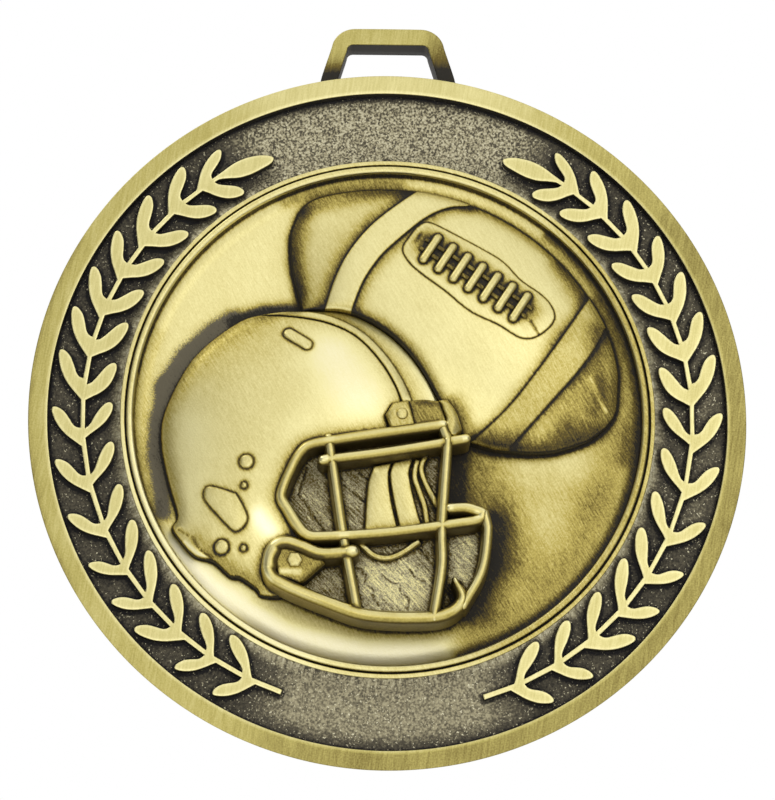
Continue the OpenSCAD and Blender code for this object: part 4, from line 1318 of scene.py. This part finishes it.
class MEDAL_OT_helmet(MedalStep):
    """Model the helmet's shell with its crest, vent, boss, snaps and bumper"""
    bl_idname = "medal.helmet"
    bl_label = "Helmet"

    def build(self, context):
        edge = mm(context.scene.medal_casting.edge)
        flange = [(-20.2, -11.6), (-18.8, -12.5), (-18.1, -13.6), (-17, -14.4)]
        stains = [
            # Painted shade down the shell's left edge.
            ([(-12, 9.2), (-16, 7.2), (-19.4, 3.6), (-21.2, -0.5), (-21.3, -4), (-20.4, -9)], 0.8, 0.14),
            ([(-18.4, -12.6), (-16, -14.8), (-13, -16.8)], 0.9, 0.22),
            # Painted shade on the upper left.
            ([(-17, 5), (-12, 8.6)], 2.6, 0.1),
            ([(-19, -2), (-18.6, -8)], 2.4, -0.14),
            # Painted highlight on the flange's bevel.
            ([(-19.6, -12.8), (-18.5, -13.8), (-17.6, -14.3)], 0.2, -0.45),
            (flange, 0.1, 0.3),
            # Painted highlights: a band right of the crown, one down the middle and a spot low on the shell.
            ([(-5.5, 5.5), (-3, 1.5)], 3.0, -0.3),
            ([(-8, -2), (-11, -9)], 2.6, -0.1),
            ([(-12.6, -10.6), (-11.4, -12)], 1.0, -0.45),
            ([(-9.4, -12.6), (-11.4, -13), (-12.3, -15), (-11.8, -17)], 0.6, 0.25),
        ]
        rings = [("crown_vent", 0.22, 0.7), ("ear_boss", 0.2, 0.6), ("shell_snaps", 0.22, 0.6),
                 ("ear_boss", 0.7, 0.12), ("crest_stripe", 0.1, 0.75), ("crest_stripe", 0.9, 0.12),
                 ("guard_loop_wire", 0.3, 0.3), ("guard_loop_wire", 1.0, 0.28), ("guard_jaw_wire", 0.4, 0.4),
                 ("helmet_shell", 0.1, 0.9), ("bumper_clips", 0.3, 0.4)]

        def drop(points, gap):
            return -0.12 * near_line(points, flange, 0.16)

        body = figure("helmet_shell", edge * 1.6, 0.14, stains=stains, rings=rings, gather=0.3, shape=drop)
        cast("helmet_shell", [body])
        rings = [("crest_stripe", 0.3, 0.3), ("helmet_far_side", 0.1, 0.4)]

        def fuller(points, gap):
            return 0.45 * np.clip(gap_to(edge_tree("crest_stripe"), points) / 2.2, 0, 1) ** 1.5

        body = figure("helmet_far_side", 0.15, 0.3, rings=rings, gather=0.03, shape=fuller)
        cast("helmet_far_side", [body])
        for node, rounding, tone, dark in (
                ("crest_stripe", 0.12, 0.04, 0.5), ("crown_vent", 0.2, 0.08, 0.3),
                ("ear_boss", 0.2, 0.14, 0.4), ("shell_snaps", 0.3, 0.1, 0.45),
                ("front_bumper", 0.14, 0.5, 0.3)):
            cast(node, [figure(node, rounding, tone, rings=[(node, 0.13, dark)], gather=0.4)])
        glint = [([(-10.2, -16.1), (-8.6, -16.2)], 0.3, -0.5)]
        for node, tone in (("bumper_clips", 0.16), ("jaw_clip", 0.34)):
            plate, top = levels(node)[-2:]
            outline = medal().outlines[node]
            raised = [spline(loop, 0.12) for loop in plan(node, low=top - 0.05)]
            rest = relief(outline, plate, FIGURE_BASE, 0.18, tone, glint, [(node, 0.16, 0.4)], gather=0.15)
            knob = relief(raised, top, plate - 0.5, 0.25, 0.2, gather=0.2)
            cast(node, [rest, knob])


class MEDAL_OT_inside(MedalStep):
    """Cut the inside of the helmet with its pads and chin cup"""
    bl_idname = "medal.inside"
    bl_label = "Helmet inside"

    def build(self, context):
        creases = [
            [(-7.9, -5.3), (-8.7, -8), (-6, -11.8)],
            [(-4.3, -7), (-2.2, -8.8)],
            [(-2.8, -5.8), (-2, -6.4)],
            [(3, -13.2), (4, -14.3)],
            [(-2.9, -15.2), (-2.1, -16), (-2.3, -16.8), (-1.4, -17.3), (-1.5, -18.2), (-0.9, -18.9)],
            [(-0.6, -15.9), (0.2, -16.6), (1.1, -16.8), (1.2, -17.7), (2, -18.2), (1.9, -19.2)],
            [(2.1, -15.4), (2.6, -16.2), (3.5, -16.5)],
        ]
        stains = [(line, 0.08, 0.5) for line in creases]
        # The first of these lines is a painted highlight: the lining lighter low in the middle.
        stains += [([(-1.5, -16.6), (2.4, -17.4)], 2.0, -0.32), ([(-6.8, -9.6), (-6, -11)], 1.0, -0.08),
                   ([(-5, -3.5), (0, -2.7), (5, -1.8)], 0.45, -0.55),
                   ([(7.6, -12.5), (7.2, -16)], 1.2, -0.25), ([(1.5, -14.6), (1.6, -14.8)], 0.8, -0.2)]
        rings = [(wire, 0.3, 0.45) for wire in WIRES] + [("cheek_pads", 0.2, 0.45), ("chin_cup", 0.25, 0.4)]

        def cut(points, gap):
            return -0.08 * sum(near_line(points, line, 0.1) for line in creases)

        body = figure("helmet_lining", 0.05, 0.42, stains=stains, rings=rings, gather=0.14, pitch=0.17,
                      shape=cut)
        cast("helmet_lining", [body], cut_lining, "dark_patina")
        rings = [("cheek_pads", 0.16, 0.4), ("guard_loop_wire", 0.6, 0.5), ("guard_brow_wire", 0.5, 0.4),
                 ("guard_front_upright", 0.35, 0.35)]
        cast("cheek_pads", [figure("cheek_pads", 0.12, 0.14, rings=rings, gather=0.12)])
        cast("chin_cup", [figure("chin_cup", 0.15, 0.25, gather=0.2)])


class MEDAL_OT_guard(MedalStep):
    """Draw the wires of the face guard"""
    bl_idname = "medal.guard"
    bl_label = "Face guard"

    def build(self, context):
        foot = medal().lining_h - 0.4
        knobs = {"guard_brow_wire": [[(-6.3, -5.2), (-6.0, -5.12)]],
                 "guard_jaw_wire": [[(-3.5, -14.2), (-3.9, -14.25)],
                                    [(-11.0, -14.1), (-11.35, -14.9), (-11.45, -15.7)]]}
        for node, lines in WIRES.items():
            width, crown = wire_width(node), front(node)
            taper = 2.6 if node == "guard_jaw_wire" else 0.0
            bodies = [tube(line, width, crown, foot, 0.13, taper=taper) for line in lines]
            bodies += [tube(knob, width * 1.16, crown + 0.04, foot, 0.12) for knob in knobs.get(node, ())]
            cast(node, bodies, guard_gold)


class MEDAL_PT_panel(bpy.types.Panel):
    """Sidebar panel that lists the medal's steps"""
    bl_idname = "MEDAL_PT_panel"
    bl_label = "Award medal"
    bl_space_type = "VIEW_3D"
    bl_region_type = "UI"
    bl_category = "Medal"

    def draw(self, context):
        for settings in ("medal_casting", "medal_tarnish", "medal_colours", "medal_studio"):
            group = getattr(context.scene, settings)
            for name in group.bl_rna.properties.keys():
                if name not in ("rna_type", "name"):
                    self.layout.prop(group, name)
        for step in STEPS:
            self.layout.operator(step.bl_idname)


STEPS = (MEDAL_OT_stage, MEDAL_OT_disc, MEDAL_OT_loop, MEDAL_OT_field, MEDAL_OT_laurels, MEDAL_OT_collar,
         MEDAL_OT_dish, MEDAL_OT_football, MEDAL_OT_helmet, MEDAL_OT_inside, MEDAL_OT_guard)
GROUPS = {"medal_casting": MedalCasting, "medal_tarnish": MedalTarnish,
          "medal_colours": MedalColours, "medal_studio": MedalStudio}


def register():
    for group in GROUPS.values():
        bpy.utils.register_class(group)
    for name, group in GROUPS.items():
        setattr(bpy.types.Scene, name, PointerProperty(type=group))
    for step in (*STEPS, MEDAL_PT_panel):
        bpy.utils.register_class(step)


def unregister():
    for step in reversed((*STEPS, MEDAL_PT_panel)):
        bpy.utils.unregister_class(step)
    for name in GROUPS:
        delattr(bpy.types.Scene, name)
    for group in GROUPS.values():
        bpy.utils.unregister_class(group)


def main():
    register()
    for step in STEPS:
        getattr(bpy.ops.medal, step.bl_idname.split(".")[1])()


if __name__ == "__main__":
    main()
